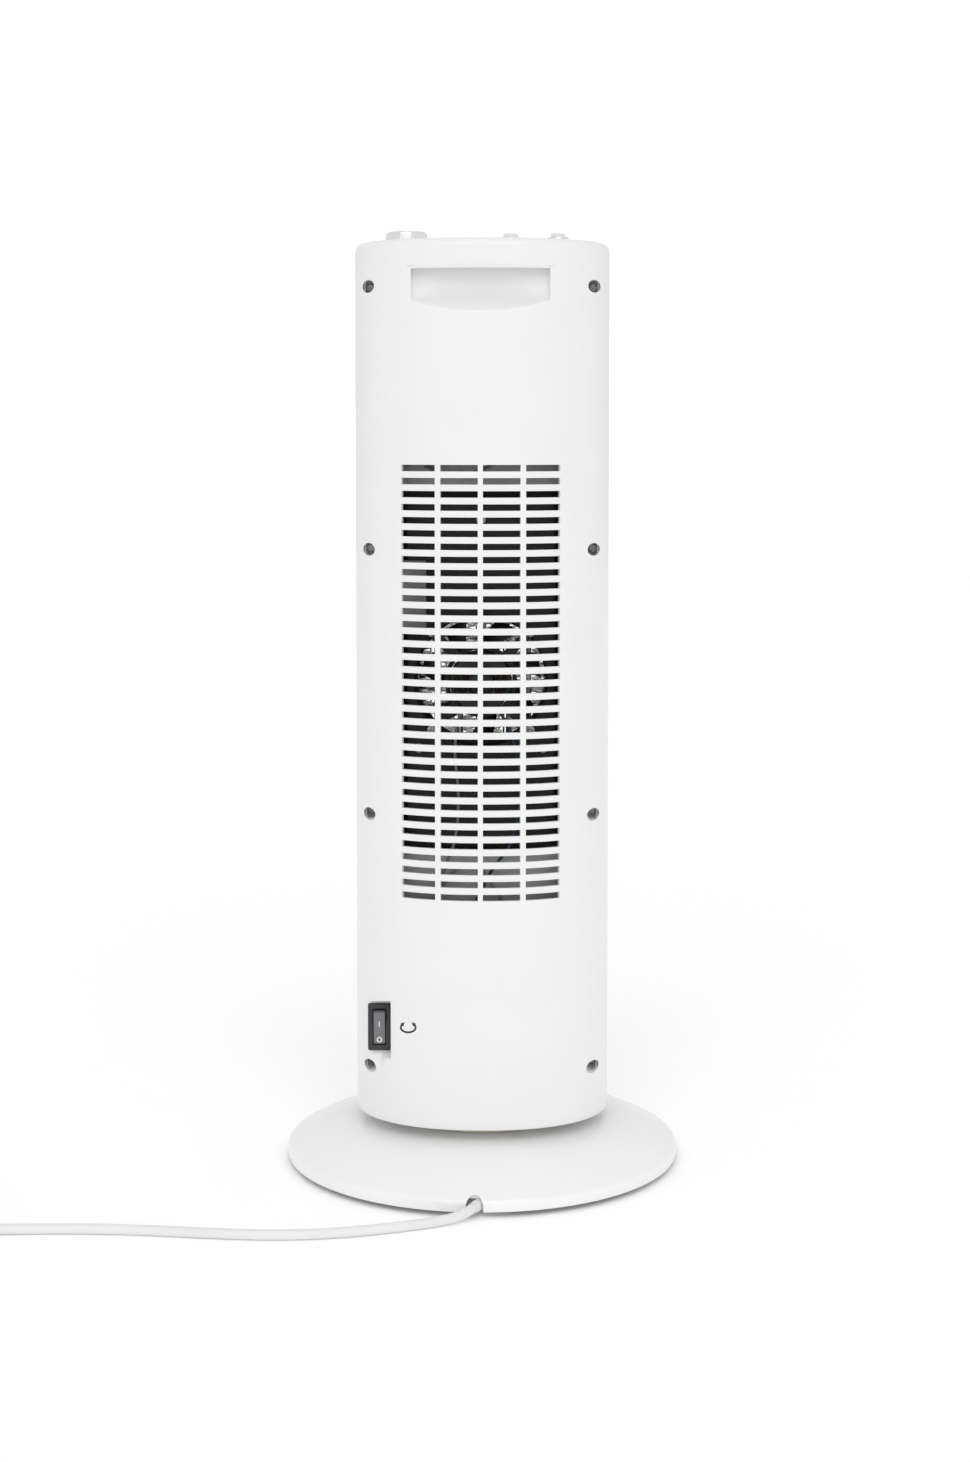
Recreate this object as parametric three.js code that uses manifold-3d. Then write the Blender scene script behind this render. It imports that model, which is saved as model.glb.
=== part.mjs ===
// Ceramic tower heater: an oscillating tower on a round weighted base.
// Millimetres, +Z up. The origin is the middle of the base on the floor.
// Warm air leaves towards -Y; the intake, the carrying grip and the swing switch face +Y.
import * as THREE from "three";
import { mergeVertices } from "three/addons/utils/BufferGeometryUtils.js";
import Module from "manifold-3d";

const wasm = await Module();
wasm.setup();

// ---- Driving dimensions ----
const GAP = 0.3; // clearance between neighbouring pieces
const WALL = 2.5; // moulded wall thickness

const BASE_RADIUS = 125;
const FOOT_HEIGHT = 3.5;
const RIM_TOP = 10; // height of the rim where the dome starts
const DOME_RISE = 18;
const DOME_FLAT_RADIUS = 60;

const TOWER_BOTTOM = 35;
const TOWER_TOP = 584;
const TOWER_HALF_WIDTH = 80.5;
const TOWER_HALF_DEPTH = 67;
const TOWER_POWER = 2.22; // exponent of the superellipse section
const TOWER_SIDES = 32;
const TOWER_EDGE = 5; // rounding of the top edge

const HUB_RADIUS = 18;
const HUB_BORE = 13;
const BEARING = { inner: 34, outer: 50 };

const SWING_LIMIT = THREE.MathUtils.degToRad(35);
const CRANK_OFFSET = 30; // swing motor axis to swivel axis
const CRANK_THROW = CRANK_OFFSET * Math.sin(SWING_LIMIT);
const CRANK_PIN = 2;
const CRANK_SLOT = 5.5; // half width of the slot that the crank pin works in

const SLOT_ROWS = 34;
const SLOT_PITCH = 8;
const SLOT_HEIGHT = 4;
const SLOT_TOP = 446;
const INTAKE = { centreRib: 3.1, innerColumn: 23.05, sideRib: 3.3, outerColumn: 20.9 };

const GRIP = { halfWidth: 42.5, bottom: 539, top: 566, roof: 574 };
const CASE_SCREW = { x: 70, recess: 4, seat: 18, heights: [67, 227, 393, 556] };

const ROCKER = {
  x: 64,
  z: 92.3,
  pad: 38, // depth of the seat's face
  width: 14.6,
  height: 30,
  caseHalfWidth: 5.5,
  caseHalfHeight: 13.2,
  tilt: 10,
};
const CONTROLS = { knob: 48, heatButton: -48, fanButton: -18 };

const OUTLET = { halfWidth: 48, bottom: 172, top: 452, rows: 20 };
const FAN = { z: 312, throat: 40, tip: 38, hub: 12, blades: 7 };
const PLENUM_EXTRA = 14; // how far the fan's plenum reaches beyond its duct, up and down

const CORD_RADIUS = 3;
const COIL = { x: 336, y: 118, start: 41, end: 25.25, bottom: 1.2 };

// ---- Finishes ----
const WHITE = { color: 0xf0f0ee, roughness: 0.42, metalness: 0 };
const DARK = { color: 0x2b2c2e, roughness: 0.5, metalness: 0 };
const BLACK = { color: 0x141415, roughness: 0.6, metalness: 0 };
const GREY = { color: 0x7c7d80, roughness: 0.45, metalness: 0 };
const CHROME = { color: 0xc9ccd0, roughness: 0.15, metalness: 1 };
const STEEL = { color: 0x9a9c9f, roughness: 0.4, metalness: 1 };
const IRON = { color: 0x4d4e50, roughness: 0.7, metalness: 1 };
const RUBBER = { color: 0xd9d9d6, roughness: 0.85, metalness: 0 };
const NYLON = { color: 0xdad6c8, roughness: 0.6, metalness: 0 };
const AMBER = { color: 0xd9541e, roughness: 0.2, metalness: 0 };
const CERAMIC = { color: 0xb9b4a6, roughness: 0.7, metalness: 0.3 };

// ---- Solids ----
function solid(geometry) {
  const bare = geometry.index ? geometry.toNonIndexed() : geometry.clone();
  bare.deleteAttribute("normal");
  bare.deleteAttribute("uv");
  const merged = mergeVertices(bare, 1e-3);
  const faces = new Uint32Array(merged.index.array);
  const mesh = { numProp: 3, vertProperties: merged.attributes.position.array, triVerts: faces };
  const made = new wasm.Manifold(new wasm.Mesh(mesh));
  if (made.volume() >= 0) return made;
  for (let i = 0; i < faces.length; i += 3) {
    const second = faces[i + 1];
    faces[i + 1] = faces[i + 2];
    faces[i + 2] = second;
  }
  return new wasm.Manifold(new wasm.Mesh(mesh));
}

function geometryOf(body) {
  const mesh = body.getMesh();
  const step = mesh.numProp;
  const places = new Float32Array(mesh.numVert * 3);
  for (let i = 0; i < mesh.numVert; i++) {
    places.set(mesh.vertProperties.subarray(i * step, i * step + 3), i * 3);
  }
  const geometry = new THREE.BufferGeometry();
  geometry.setAttribute("position", new THREE.BufferAttribute(places, 3));
  geometry.setIndex(new THREE.BufferAttribute(mesh.triVerts, 1));
  geometry.computeVertexNormals();
  return geometry;
}

function join(...bodies) {
  return bodies.reduce((whole, body) => whole.add(body));
}

function cut(body, ...tools) {
  return tools.reduce((rest, tool) => rest.subtract(tool), body);
}

function box(x0, x1, y0, y1, z0, z1) {
  const geometry = new THREE.BoxGeometry(x1 - x0, y1 - y0, z1 - z0);
  return solid(geometry.translate((x0 + x1) / 2, (y0 + y1) / 2, (z0 + z1) / 2));
}

// A round bar along Z.
function post(radius, x, y, z0, z1, sides = 12) {
  const geometry = new THREE.CylinderGeometry(radius, radius, z1 - z0, sides);
  return solid(geometry.rotateX(Math.PI / 2).translate(x, y, (z0 + z1) / 2));
}

// A round bar along Y.
function peg(radius, x, z, y0, y1, sides = 10) {
  const geometry = new THREE.CylinderGeometry(radius, radius, y1 - y0, sides);
  return solid(geometry.translate(x, (y0 + y1) / 2, z));
}

// A round bar along X.
function pin(radius, y, z, x0, x1, sides = 8) {
  const geometry = new THREE.CylinderGeometry(radius, radius, x1 - x0, sides);
  return solid(geometry.rotateZ(Math.PI / 2).translate((x0 + x1) / 2, y, z));
}

// A body of revolution about a vertical line, from a closed outline of [radius, height] pairs.
function turned(outline, sides = 32, x = 0, y = 0) {
  const points = [...outline, outline[0]].map(([r, z]) => new THREE.Vector2(r, z));
  return solid(new THREE.LatheGeometry(points, sides).rotateX(Math.PI / 2).translate(x, y, 0));
}

function ring(inner, outer, z0, z1, sides = 28, x = 0, y = 0) {
  return turned([[inner, z0], [outer, z0], [outer, z1], [inner, z1]], sides, x, y);
}

// An outline of [y, z] pairs as a bar that starts at x = 0 and runs along X.
function barGeometry(outline, length) {
  const shape = new THREE.Shape(outline.map(([y, z]) => new THREE.Vector2(y, z)));
  const geometry = new THREE.ExtrudeGeometry(shape, { depth: length, bevelEnabled: false });
  const turn = new THREE.Matrix4().makeBasis(
    new THREE.Vector3(0, 1, 0),
    new THREE.Vector3(0, 0, 1),
    new THREE.Vector3(1, 0, 0),
  );
  return geometry.applyMatrix4(turn);
}

function barX(outline, x0, x1) {
  return solid(barGeometry(outline, x1 - x0).translate(x0, 0, 0));
}

// A tube along a smooth curve through [x, y, z] points.
function tube(points, radius, steps, sides = 8) {
  const section = new THREE.Shape();
  for (let i = 0; i < sides; i++) {
    const angle = (2 * Math.PI * i) / sides;
    const place = [radius * Math.cos(angle), radius * Math.sin(angle)];
    if (i === 0) section.moveTo(...place);
    else section.lineTo(...place);
  }
  const path = new THREE.CatmullRomCurve3(points.map((p) => new THREE.Vector3(...p)));
  return solid(new THREE.ExtrudeGeometry(section, { steps, extrudePath: path, bevelEnabled: false }));
}

// The tower's superellipse section, moved inwards by inset.
function towerOutline(inset) {
  const shape = new THREE.Shape();
  for (let i = 0; i < TOWER_SIDES; i++) {
    const angle = (2 * Math.PI * i) / TOWER_SIDES;
    const [c, s] = [Math.cos(angle), Math.sin(angle)];
    const x = (TOWER_HALF_WIDTH - inset) * Math.sign(c) * Math.abs(c) ** (2 / TOWER_POWER);
    const y = (TOWER_HALF_DEPTH - inset) * Math.sign(s) * Math.abs(s) ** (2 / TOWER_POWER);
    if (i === 0) shape.moveTo(x, y);
    else shape.lineTo(x, y);
  }
  return shape;
}

function towerBlock(inset, z0, z1) {
  const options = { depth: z1 - z0, bevelEnabled: false };
  return solid(new THREE.ExtrudeGeometry(towerOutline(inset), options).translate(0, 0, z0));
}

// The whole tower as a solid block with its rounded top edge.
function towerBody() {
  const start = TOWER_BOTTOM - 2 * TOWER_EDGE;
  const geometry = new THREE.ExtrudeGeometry(towerOutline(0), {
    depth: TOWER_TOP - start - 2 * TOWER_EDGE,
    bevelThickness: TOWER_EDGE,
    bevelSize: TOWER_EDGE,
    bevelOffset: -TOWER_EDGE,
    bevelSegments: 3,
  });
  const block = solid(geometry.translate(0, 0, start + TOWER_EDGE));
  return cut(block, box(-100, 100, -100, 100, start - 5, TOWER_BOTTOM));
}

// ---- Base ----
function domeHeight(radius) {
  if (radius <= DOME_FLAT_RADIUS) return RIM_TOP + DOME_RISE;
  const run = (radius - DOME_FLAT_RADIUS) / (BASE_RADIUS - DOME_FLAT_RADIUS);
  return RIM_TOP + DOME_RISE * (1 - run * run);
}

const NOTCH = { x: 2.4, halfWidth: 5.2, arch: 7.4 }; // cord outlet in the rim
const GLAND_INNER = new THREE.Vector3(-7.4, 106.7, 7.4);
const GLAND_TIP = new THREE.Vector3(3.4, 125.4, 6.2);
const GLAND_LENGTH = GLAND_INNER.distanceTo(GLAND_TIP);

// A round piece on the gland's axis, between two distances from its inner end.
function alongGland(innerRadius, outerRadius, from, to) {
  const axis = GLAND_TIP.clone().sub(GLAND_INNER).normalize();
  const geometry = new THREE.CylinderGeometry(outerRadius, innerRadius, to - from, 12);
  geometry.translate(0, (from + to) / 2, 0);
  const up = new THREE.Vector3(0, 1, 0);
  geometry.applyQuaternion(new THREE.Quaternion().setFromUnitVectors(up, axis));
  return solid(geometry.translate(GLAND_INNER.x, GLAND_INNER.y, GLAND_INNER.z));
}

// The tapered sleeve slants out of the notch, held inside by its collar.
function cordGland() {
  return join(alongGland(3.8, 3.4, 0, GLAND_LENGTH), alongGland(5, 5, 2, 5));
}

const BOSS_RADIUS = 96; // circle of the base screws
const BOSS_ANGLES = [30, 150, 270].map(THREE.MathUtils.degToRad);

function baseCover() {
  const hole = HUB_RADIUS + 1;
  const rings = [DOME_FLAT_RADIUS, 78, 94, 108, 120];
  const outside = rings.map((r) => [r, domeHeight(r)]);
  const inside = rings.map((r) => [r - 1, domeHeight(r) - WALL]).reverse();
  const top = RIM_TOP + DOME_RISE;
  let body = turned(
    [
      [hole, top],
      ...outside,
      [BASE_RADIUS - 1, RIM_TOP - 0.2],
      [BASE_RADIUS, RIM_TOP - 2],
      [BASE_RADIUS, FOOT_HEIGHT],
      [BASE_RADIUS - WALL, FOOT_HEIGHT],
      [BASE_RADIUS - WALL, RIM_TOP - 2],
      ...inside,
      [hole, top - WALL],
    ],
    44,
  );
  for (const angle of BOSS_ANGLES) {
    const [x, y] = [BOSS_RADIUS * Math.cos(angle), BOSS_RADIUS * Math.sin(angle)];
    body = join(body, post(5, x, y, 6.3, domeHeight(BOSS_RADIUS + 5) - 1, 8));
    body = cut(body, post(1.9, x, y, 5, 17, 8));
  }
  const { x, halfWidth, arch } = NOTCH;
  const straight = box(x - halfWidth, x + halfWidth, 119, 130, 0, arch);
  const mouth = join(peg(halfWidth, x, arch, 119, 130, 16), straight);
  return cut(body, mouth, alongGland(4.2, 4.2, 0, GLAND_LENGTH));
}

const FEET = [35, 145, 215, 325].map(THREE.MathUtils.degToRad);
const FOOT_CIRCLE = 108;

function basePlate() {
  let plate = post(BASE_RADIUS - WALL - GAP, 0, 0, FOOT_HEIGHT, FOOT_HEIGHT + WALL, 44);
  for (const angle of FEET) {
    const [x, y] = [FOOT_CIRCLE * Math.cos(angle), FOOT_CIRCLE * Math.sin(angle)];
    plate = cut(plate, post(3.3, x, y, 0, 10, 8));
  }
  for (const angle of BOSS_ANGLES) {
    const [x, y] = [BOSS_RADIUS * Math.cos(angle), BOSS_RADIUS * Math.sin(angle)];
    plate = cut(plate, post(2.2, x, y, 0, 10, 8), post(4, x, y, 0, 4.8, 8));
  }
  return cut(plate, box(-17, 9, 92, 130, 0, 10));
}

function foot(angle) {
  const [x, y] = [FOOT_CIRCLE * Math.cos(angle), FOOT_CIRCLE * Math.sin(angle)];
  const pad = post(9, x, y, 0, FOOT_HEIGHT - GAP, 16);
  return join(pad, post(3, x, y, 1, FOOT_HEIGHT + WALL + 0.8, 8));
}

function baseScrew(angle) {
  const [x, y] = [BOSS_RADIUS * Math.cos(angle), BOSS_RADIUS * Math.sin(angle)];
  return join(post(3.6, x, y, 3.6, 4.5, 8), post(1.6, x, y, 4, 15, 8));
}

function ballastRing() {
  return cut(ring(45, 82, 6.3, 14), box(-15, 6, 40, 90, 0, 20));
}

function swivelHub() {
  const flange = [[HUB_BORE, 6.3], [32, 6.3], [32, 8.8], [HUB_RADIUS, 8.8]];
  const hub = turned([...flange, [HUB_RADIUS, 49], [HUB_BORE, 49]], 24);
  return cut(hub, box(-5, 5, 5, 40, 9, 25));
}

// The fixed arm that the crank pin pushes against. Its collar holds the tower floor down on the hub.
function slottedArm() {
  const near = CRANK_OFFSET - CRANK_THROW * Math.sin(SWING_LIMIT);
  const slotStart = Math.sqrt(CRANK_OFFSET ** 2 - CRANK_THROW ** 2) - CRANK_PIN - 0.4;
  const slotEnd = CRANK_OFFSET + CRANK_THROW + CRANK_PIN + 0.4;
  const [z0, z1] = [45.8, 48.8];
  const side = CRANK_SLOT + 4;
  const tip = slotEnd - CRANK_SLOT;
  const arm = join(
    post(27, 0, 0, 38.7, z1, 24),
    box(-side, side, -tip, 0, z0, z1),
    post(side, 0, -tip, z0, z1, 16),
  );
  const slot = join(
    box(-CRANK_SLOT, CRANK_SLOT, -tip, -near - 4, 0, 60),
    post(CRANK_SLOT, 0, -tip, 0, 60, 16),
    post(CRANK_SLOT, 0, -slotStart - CRANK_SLOT, 0, 60, 16),
  );
  return cut(arm, post(HUB_RADIUS + GAP, 0, 0, 0, 60, 24), slot);
}

// ---- Tower casing ----
function caseScrewPlaces() {
  return CASE_SCREW.heights.flatMap((z) => [[CASE_SCREW.x, z], [-CASE_SCREW.x, z]]);
}

// All intake slots as one tool: full-width rows with the upright ribs taken out.
function intakeSlots() {
  const { centreRib, innerColumn, sideRib, outerColumn } = INTAKE;
  const ribStart = centreRib / 2 + innerColumn;
  const side = ribStart + sideRib + outerColumn;
  const rows = [];
  for (let row = 0; row < SLOT_ROWS; row++) {
    const top = SLOT_TOP - row * SLOT_PITCH;
    rows.push(box(-side, side, 30, 90, top - SLOT_HEIGHT, top));
  }
  const low = SLOT_TOP - SLOT_ROWS * SLOT_PITCH;
  return cut(
    join(...rows),
    box(-centreRib / 2, centreRib / 2, 20, 100, low, SLOT_TOP + 1),
    box(ribStart, ribStart + sideRib, 20, 100, low, SLOT_TOP + 1),
    box(-ribStart - sideRib, -ribStart, 20, 100, low, SLOT_TOP + 1),
  );
}

// The grip is a scoop whose floor slopes in and up to a pocket behind the upper lip.
function gripProfile(grow) {
  return [
    [90, GRIP.bottom - 19 - grow],
    [57 - grow, 548.2 - grow],
    [53 - grow, 554 - grow],
    [51.5 - grow, 565],
    [52 - grow, GRIP.roof - 1 + grow],
    [90, GRIP.roof + grow],
  ];
}

// The scoop's hollow: over the lip's lower edge it stays behind the wall.
function gripHollow() {
  const scoop = barX(gripProfile(0), -GRIP.halfWidth, GRIP.halfWidth);
  const mouth = scoop.intersect(box(-100, 100, 0, 100, GRIP.bottom - 30, GRIP.top));
  return join(mouth, scoop.intersect(towerBlock(WALL, GRIP.bottom - 30, TOWER_TOP)));
}

// The flat seat of the swing switch, sunk into the curved wall, with sloping upper and lower edges.
function rockerProfile(grow) {
  const top = ROCKER.z + ROCKER.height / 2 + 1;
  const bottom = ROCKER.z - ROCKER.height / 2 - 1;
  return [
    [ROCKER.pad - grow, top + grow],
    [ROCKER.pad - grow, bottom - grow / 2],
    [80, bottom - 30 - grow],
    [90, top + 14 + grow],
  ];
}

// The whole tower wall, still without its openings.
function towerWall(outer) {
  const hollow = towerBlock(WALL, TOWER_BOTTOM - 5, TOWER_TOP - 3);
  return cut(outer, hollow, towerBlock(8, TOWER_TOP - 10, TOWER_TOP + 10));
}

function rearCover(outer) {
  const rear = box(-100, 100, 0.15, 100, 0, 700);
  const gripOuter = barX(gripProfile(WALL), -GRIP.halfWidth - WALL, GRIP.halfWidth + WALL);
  const inner = ROCKER.x - ROCKER.width / 2 - 0.5;
  const pad = barX(rockerProfile(WALL), inner - WALL, 90);
  const seat = barX(rockerProfile(0), inner, 95);
  const bosses = caseScrewPlaces().map(([x, z]) => peg(5.5, x, z, 0.15, 60, 8));
  const additions = join(gripOuter, pad, ...bosses).intersect(outer);
  let cover = join(towerWall(outer).intersect(rear), additions);
  cover = cut(cover, gripHollow(), seat, intakeSlots());
  for (const [x, z] of caseScrewPlaces()) {
    cover = cut(cover, peg(CASE_SCREW.recess, x, z, CASE_SCREW.seat, 80), peg(1.9, x, z, -5, 20, 6));
  }
  const { x, z, caseHalfWidth: halfX, caseHalfHeight: halfZ } = ROCKER;
  return cut(cover, box(x - halfX - GAP, x + halfX + GAP, 20, 45, z - halfZ - 0.4, z + halfZ + 0.4));
}

function frontCover(outer) {
  const front = box(-100, 100, -100, -0.15, 0, 700);
  const bosses = caseScrewPlaces().map(([x, z]) => peg(5, x, z, -60, -0.15, 8));
  let cover = join(towerWall(outer).intersect(front), join(...bosses).intersect(outer));
  for (const [x, z] of caseScrewPlaces()) cover = cut(cover, peg(1.8, x, z, -16, 5, 6));
  return cut(cover, box(-OUTLET.halfWidth, OUTLET.halfWidth, -90, -30, OUTLET.bottom, OUTLET.top));
}

// A curved louvred panel that fills the outlet of the front cover.
function outletGrille(outer) {
  const side = OUTLET.halfWidth - GAP;
  const frame = box(-side, side, -90, -30, OUTLET.bottom + GAP, OUTLET.top - GAP);
  const panel = towerWall(outer).intersect(frame);
  const border = 6;
  const pitch = (OUTLET.top - OUTLET.bottom - 2 * border) / OUTLET.rows;
  const rows = [];
  for (let row = 0; row < OUTLET.rows; row++) {
    const low = OUTLET.bottom + border + row * pitch + pitch / 4;
    rows.push(box(border - side, side - border, -90, -30, low, low + pitch / 2));
  }
  const rib = box(-2.5, 2.5, -100, -20, OUTLET.bottom, OUTLET.top);
  return cut(panel, cut(join(...rows), rib));
}

function towerFloor() {
  let floor = towerBlock(WALL + 0.4, TOWER_BOTTOM + GAP, TOWER_BOTTOM + 3.3);
  floor = join(floor, ring(BEARING.inner, BEARING.outer, 31.9, TOWER_BOTTOM + 1));
  floor = cut(floor, post(HUB_RADIUS + 0.6, 0, 0, 20, 60, 24));
  return join(floor, post(4, 38, -22, 36, 56, 8), post(4, -38, -22, 36, 56, 8));
}

function topPanel() {
  return cut(
    towerBlock(8 + GAP, TOWER_TOP - 4.5, TOWER_TOP - 0.8),
    post(4, CONTROLS.knob, 0, 500, 600),
    post(5, CONTROLS.heatButton, 0, 500, 600),
    post(5, CONTROLS.fanButton, 0, 500, 600),
    post(2.9, 15, 0, 500, 600),
  );
}

function caseScrew([x, z]) {
  const under = CASE_SCREW.seat + GAP;
  return join(peg(3.1, x, z, under, under + 2.7, 8), peg(1.5, x, z, -13, under + 1, 6));
}

// ---- Swing drive ----
function swingMotor() {
  return join(
    post(24.5, 0, -CRANK_OFFSET, 56.3, 72, 20),
    box(-44, 44, -27, -17, 56.3, 57.8),
    post(2.5, 0, -CRANK_OFFSET, 51.6, 57, 12),
  );
}

function swingCrank() {
  const disc = post(CRANK_THROW + 3.5, 0, -CRANK_OFFSET, 51.3, 54.3, 24);
  const crankPin = post(CRANK_PIN, 0, -CRANK_OFFSET - CRANK_THROW, 44.5, 52, 12);
  return cut(join(disc, crankPin), post(2.9, 0, -CRANK_OFFSET, 40, 60, 12));
}

// ---- Tilt switch: a pendulum between two ears ----
const TILT = { x: -40, y: 30, pivot: 62 };

function tiltSwitch() {
  const { x, y, pivot } = TILT;
  return cut(
    join(
      box(x - 12, x + 12, y - 8, y + 8, 38.6, 40.6),
      box(x - 12, x - 9, y - 5, y + 5, 40, pivot + 4),
      box(x + 9, x + 12, y - 5, y + 5, 40, pivot + 4),
    ),
    pin(1.5, y, pivot, x - 15, x + 15),
  );
}

function tiltPendulum() {
  const { x, y, pivot } = TILT;
  return join(
    pin(1.2, y, pivot, x - 11.5, x + 11.5),
    box(x - 2, x + 2, y - 2, y + 2, 50, pivot + 1),
    post(6, x, y, 44, 51, 16),
  );
}

// ---- Fan and heater ----
// The duct around the fan widens into a low plenum against the heater's frame.
function fanHousing() {
  const [low, high] = [205, 432];
  const [plenumLow, plenumHigh] = [low - PLENUM_EXTRA, high + PLENUM_EXTRA];
  const outside = join(box(-52, 52, 2, 46, low, high), box(-50, 50, -9.7, 4, plenumLow, plenumHigh));
  const shell = cut(
    outside,
    box(-48, 48, 1, 43.8, low + 2, high - 2),
    box(-48, 48, -12, 2, plenumLow + 2, plenumHigh - 2),
  );
  const throat = peg(FAN.throat + 2.2, 0, FAN.z, 22, 46, 28);
  return cut(join(shell, throat), peg(FAN.throat, 0, FAN.z, 0, 60, 28));
}

// Four arms from a ring around the motor to the housing's rear plate.
function motorBracket() {
  const [y0, y1] = [46.3, 48.3];
  let body = peg(23, 0, FAN.z, y0, y1, 20);
  for (let i = 0; i < 4; i++) {
    const arm = new THREE.BoxGeometry(49, y1 - y0, 9).translate(24.5, (y0 + y1) / 2, 0);
    arm.rotateY(Math.PI / 4 + (i * Math.PI) / 2).translate(0, 0, FAN.z);
    body = join(body, solid(arm));
  }
  return cut(body, peg(19.5, 0, FAN.z, 0, 90, 20));
}

function fanMotor() {
  const can = peg(19, 0, FAN.z, 40, 58, 20);
  return cut(can, peg(2.9, 0, FAN.z, 0, 54, 12));
}

function fanWheel() {
  let wheel = join(peg(FAN.hub, 0, FAN.z, 22, 36, 16), peg(2.5, 0, FAN.z, 12, 52, 8));
  for (let i = 0; i < FAN.blades; i++) {
    const blade = new THREE.BoxGeometry(FAN.tip - FAN.hub + 2, 1.8, 17);
    blade.rotateX(THREE.MathUtils.degToRad(52));
    blade.translate((FAN.tip + FAN.hub - 2) / 2, 29, 0);
    blade.rotateY((2 * Math.PI * i) / FAN.blades).translate(0, 0, FAN.z);
    wheel = join(wheel, solid(blade));
  }
  return wheel;
}

function heaterFrame() {
  const body = box(-50, 50, -34, -10, 175, 450);
  return cut(body, box(-44, 44, -40, 0, 183, 442));
}

function ceramicBar(index) {
  const x = (index - 1) * 29.2;
  return box(x - 14, x + 14, -30, -14, 183.3, 441.7);
}

function thermalCutout() {
  return join(post(8, 20, -22, 450.3, 457, 12), box(8, 32, -24, -20, 450.3, 452));
}

// ---- Controls ----
function thermostat() {
  const body = box(CONTROLS.knob - 15, CONTROLS.knob + 15, -12, 12, 553, 575);
  return cut(body, post(3.4, CONTROLS.knob, 0, 560, 590, 10));
}

// The knob with the spindle that is pressed into it.
function thermostatKnob() {
  const outline = [[0, 584], [12.6, 584], [13.4, 585], [13, 590.8], [11.8, 592.3], [0, 592.3]];
  const points = outline.map(([r, z]) => new THREE.Vector2(r, z));
  const lathe = new THREE.LatheGeometry(points, 24).rotateX(Math.PI / 2);
  return join(solid(lathe.translate(CONTROLS.knob, 0, 0)), post(3, CONTROLS.knob, 0, 561, 586));
}

function modeSwitch() {
  return cut(
    box(-58, -8, -10, 10, 553, 572),
    post(2.4, CONTROLS.heatButton, 0, 562, 580, 12),
    post(2.4, CONTROLS.fanButton, 0, 562, 580, 12),
  );
}

function pushButton(x) {
  return join(post(4.6, x, 0, 576, 592, 16), post(2, x, 0, 566, 577, 8));
}

function buttonRing(x) {
  return ring(5, 6.8, TOWER_TOP - 0.5, TOWER_TOP + 5, 16, x, 0);
}

function pilotLens() {
  return join(post(2.6, 15, 0, 574, 584, 8), post(3.6, 15, 0, 583.5, 585, 12));
}

// ---- Swing switch ----
function rockerCase() {
  const { x, z, pad, width, height, caseHalfWidth, caseHalfHeight } = ROCKER;
  const face = pad + GAP;
  const bezel = box(x - width / 2, x + width / 2, face, face + 2, z - height / 2, z + height / 2);
  const body = box(
    x - caseHalfWidth,
    x + caseHalfWidth,
    15,
    face + 1,
    z - caseHalfHeight,
    z + caseHalfHeight,
  );
  return cut(join(bezel, body), box(x - 4, x + 4, pad - 5, 60, z - 11.3, z + 11.3));
}

// The rocker is shallow-V shaped and rests with its lower, off, end pressed in.
function rocker() {
  const { x, z, pad, tilt } = ROCKER;
  const [half, halfWidth, pivot] = [10.35, 3.6, pad - 1];
  const outline = [[-1.5, -half], [4.6, -half], [3.2, 0], [4.6, half], [-1.5, half]];
  const bar = barGeometry(outline, 2 * halfWidth).rotateX(THREE.MathUtils.degToRad(-tilt));
  return solid(bar.translate(x - halfWidth, pivot, z));
}

// ---- Wiring ----
function terminalBlock() {
  return box(16, 46, 30, 42, 38.6, 52);
}

function wireLoom() {
  const route = [
    [30, 36, 52.5],
    [30.5, 35, 60],
    [38, 28, 78],
    [54, 6, 120],
    [60, 0, 170],
    [61, 0, 310],
    [60, 0, 450],
    [50, 2, 552],
  ];
  return tube(route, 3, 18, 6);
}

function baseLead() {
  const route = [
    [-8, 105.8, 7.6],
    [-11, 99, 8.6],
    [-6, 82, 11],
    [-1, 60, 12],
    [0, 34, 12.6],
    [0, 16, 14.4],
    [0, 5, 21],
    [0, 0, 34],
    [0, 0, 48],
  ];
  return tube(route, 3, 18, 6);
}

// ---- Power cord ----
// Chosen by hand: out of the sleeve, down to the floor and in a loose line to the coil.
const CORD_ROUTE = [
  [3.6, 125.75, 6.18],
  [5.2, 128.1, 5.9],
  [7.4, 130.6, 5.4],
  [9.8, 132.7, 4.9],
  [12.6, 134.6, 4.3],
  [15.4, 136, 3.9],
  [28, 141.5, 3.15],
  [42, 147.2, 3.1],
  [58, 152.8, 3.1],
  [76, 158, 3.1],
  [98, 162, 3.1],
  [124, 163.2, 3.1],
  [152, 161.4, 3.1],
  [182, 158, 3.1],
  [212, 155.6, 3.1],
  [242, 155.2, 3.1],
  [270, 156.6, 3.2],
  [292, 158.2, 3.8],
  [312.5, 159, 4.2],
];
const TAIL_ROUTE = [
  [377, 94.6, 10.2],
  [377.2, 86, 9.6],
  [377.8, 76, 9.3],
  [378, 66.4, 9.3],
];

function coilRing() {
  const outer = COIL.start + CORD_RADIUS + 0.2;
  const inner = COIL.end - CORD_RADIUS - 0.2;
  return ring(inner, outer, COIL.bottom, COIL.bottom + 4 * CORD_RADIUS + 0.2, 24, COIL.x, COIL.y);
}

// A band round the coil's section, lying on the floor.
function cordTie() {
  const y0 = COIL.y - COIL.start - CORD_RADIUS - 1.6;
  const y1 = COIL.y - COIL.end + CORD_RADIUS + 2;
  const [x0, x1] = [COIL.x - 4, COIL.x + 4];
  const top = COIL.bottom + 4 * CORD_RADIUS + 0.2;
  const band = box(x0, x1, y0, y1, 0, top + 1.2);
  return cut(band, box(x0 - 5, x1 + 5, y0 + 0.9, y1 - 0.9, 0.9, top + GAP));
}

const PLUG = { x: 378, back: 66, face: 30, middle: 9.3, half: 17.5 };
const PIN_OFFSET = 9.5;

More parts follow.
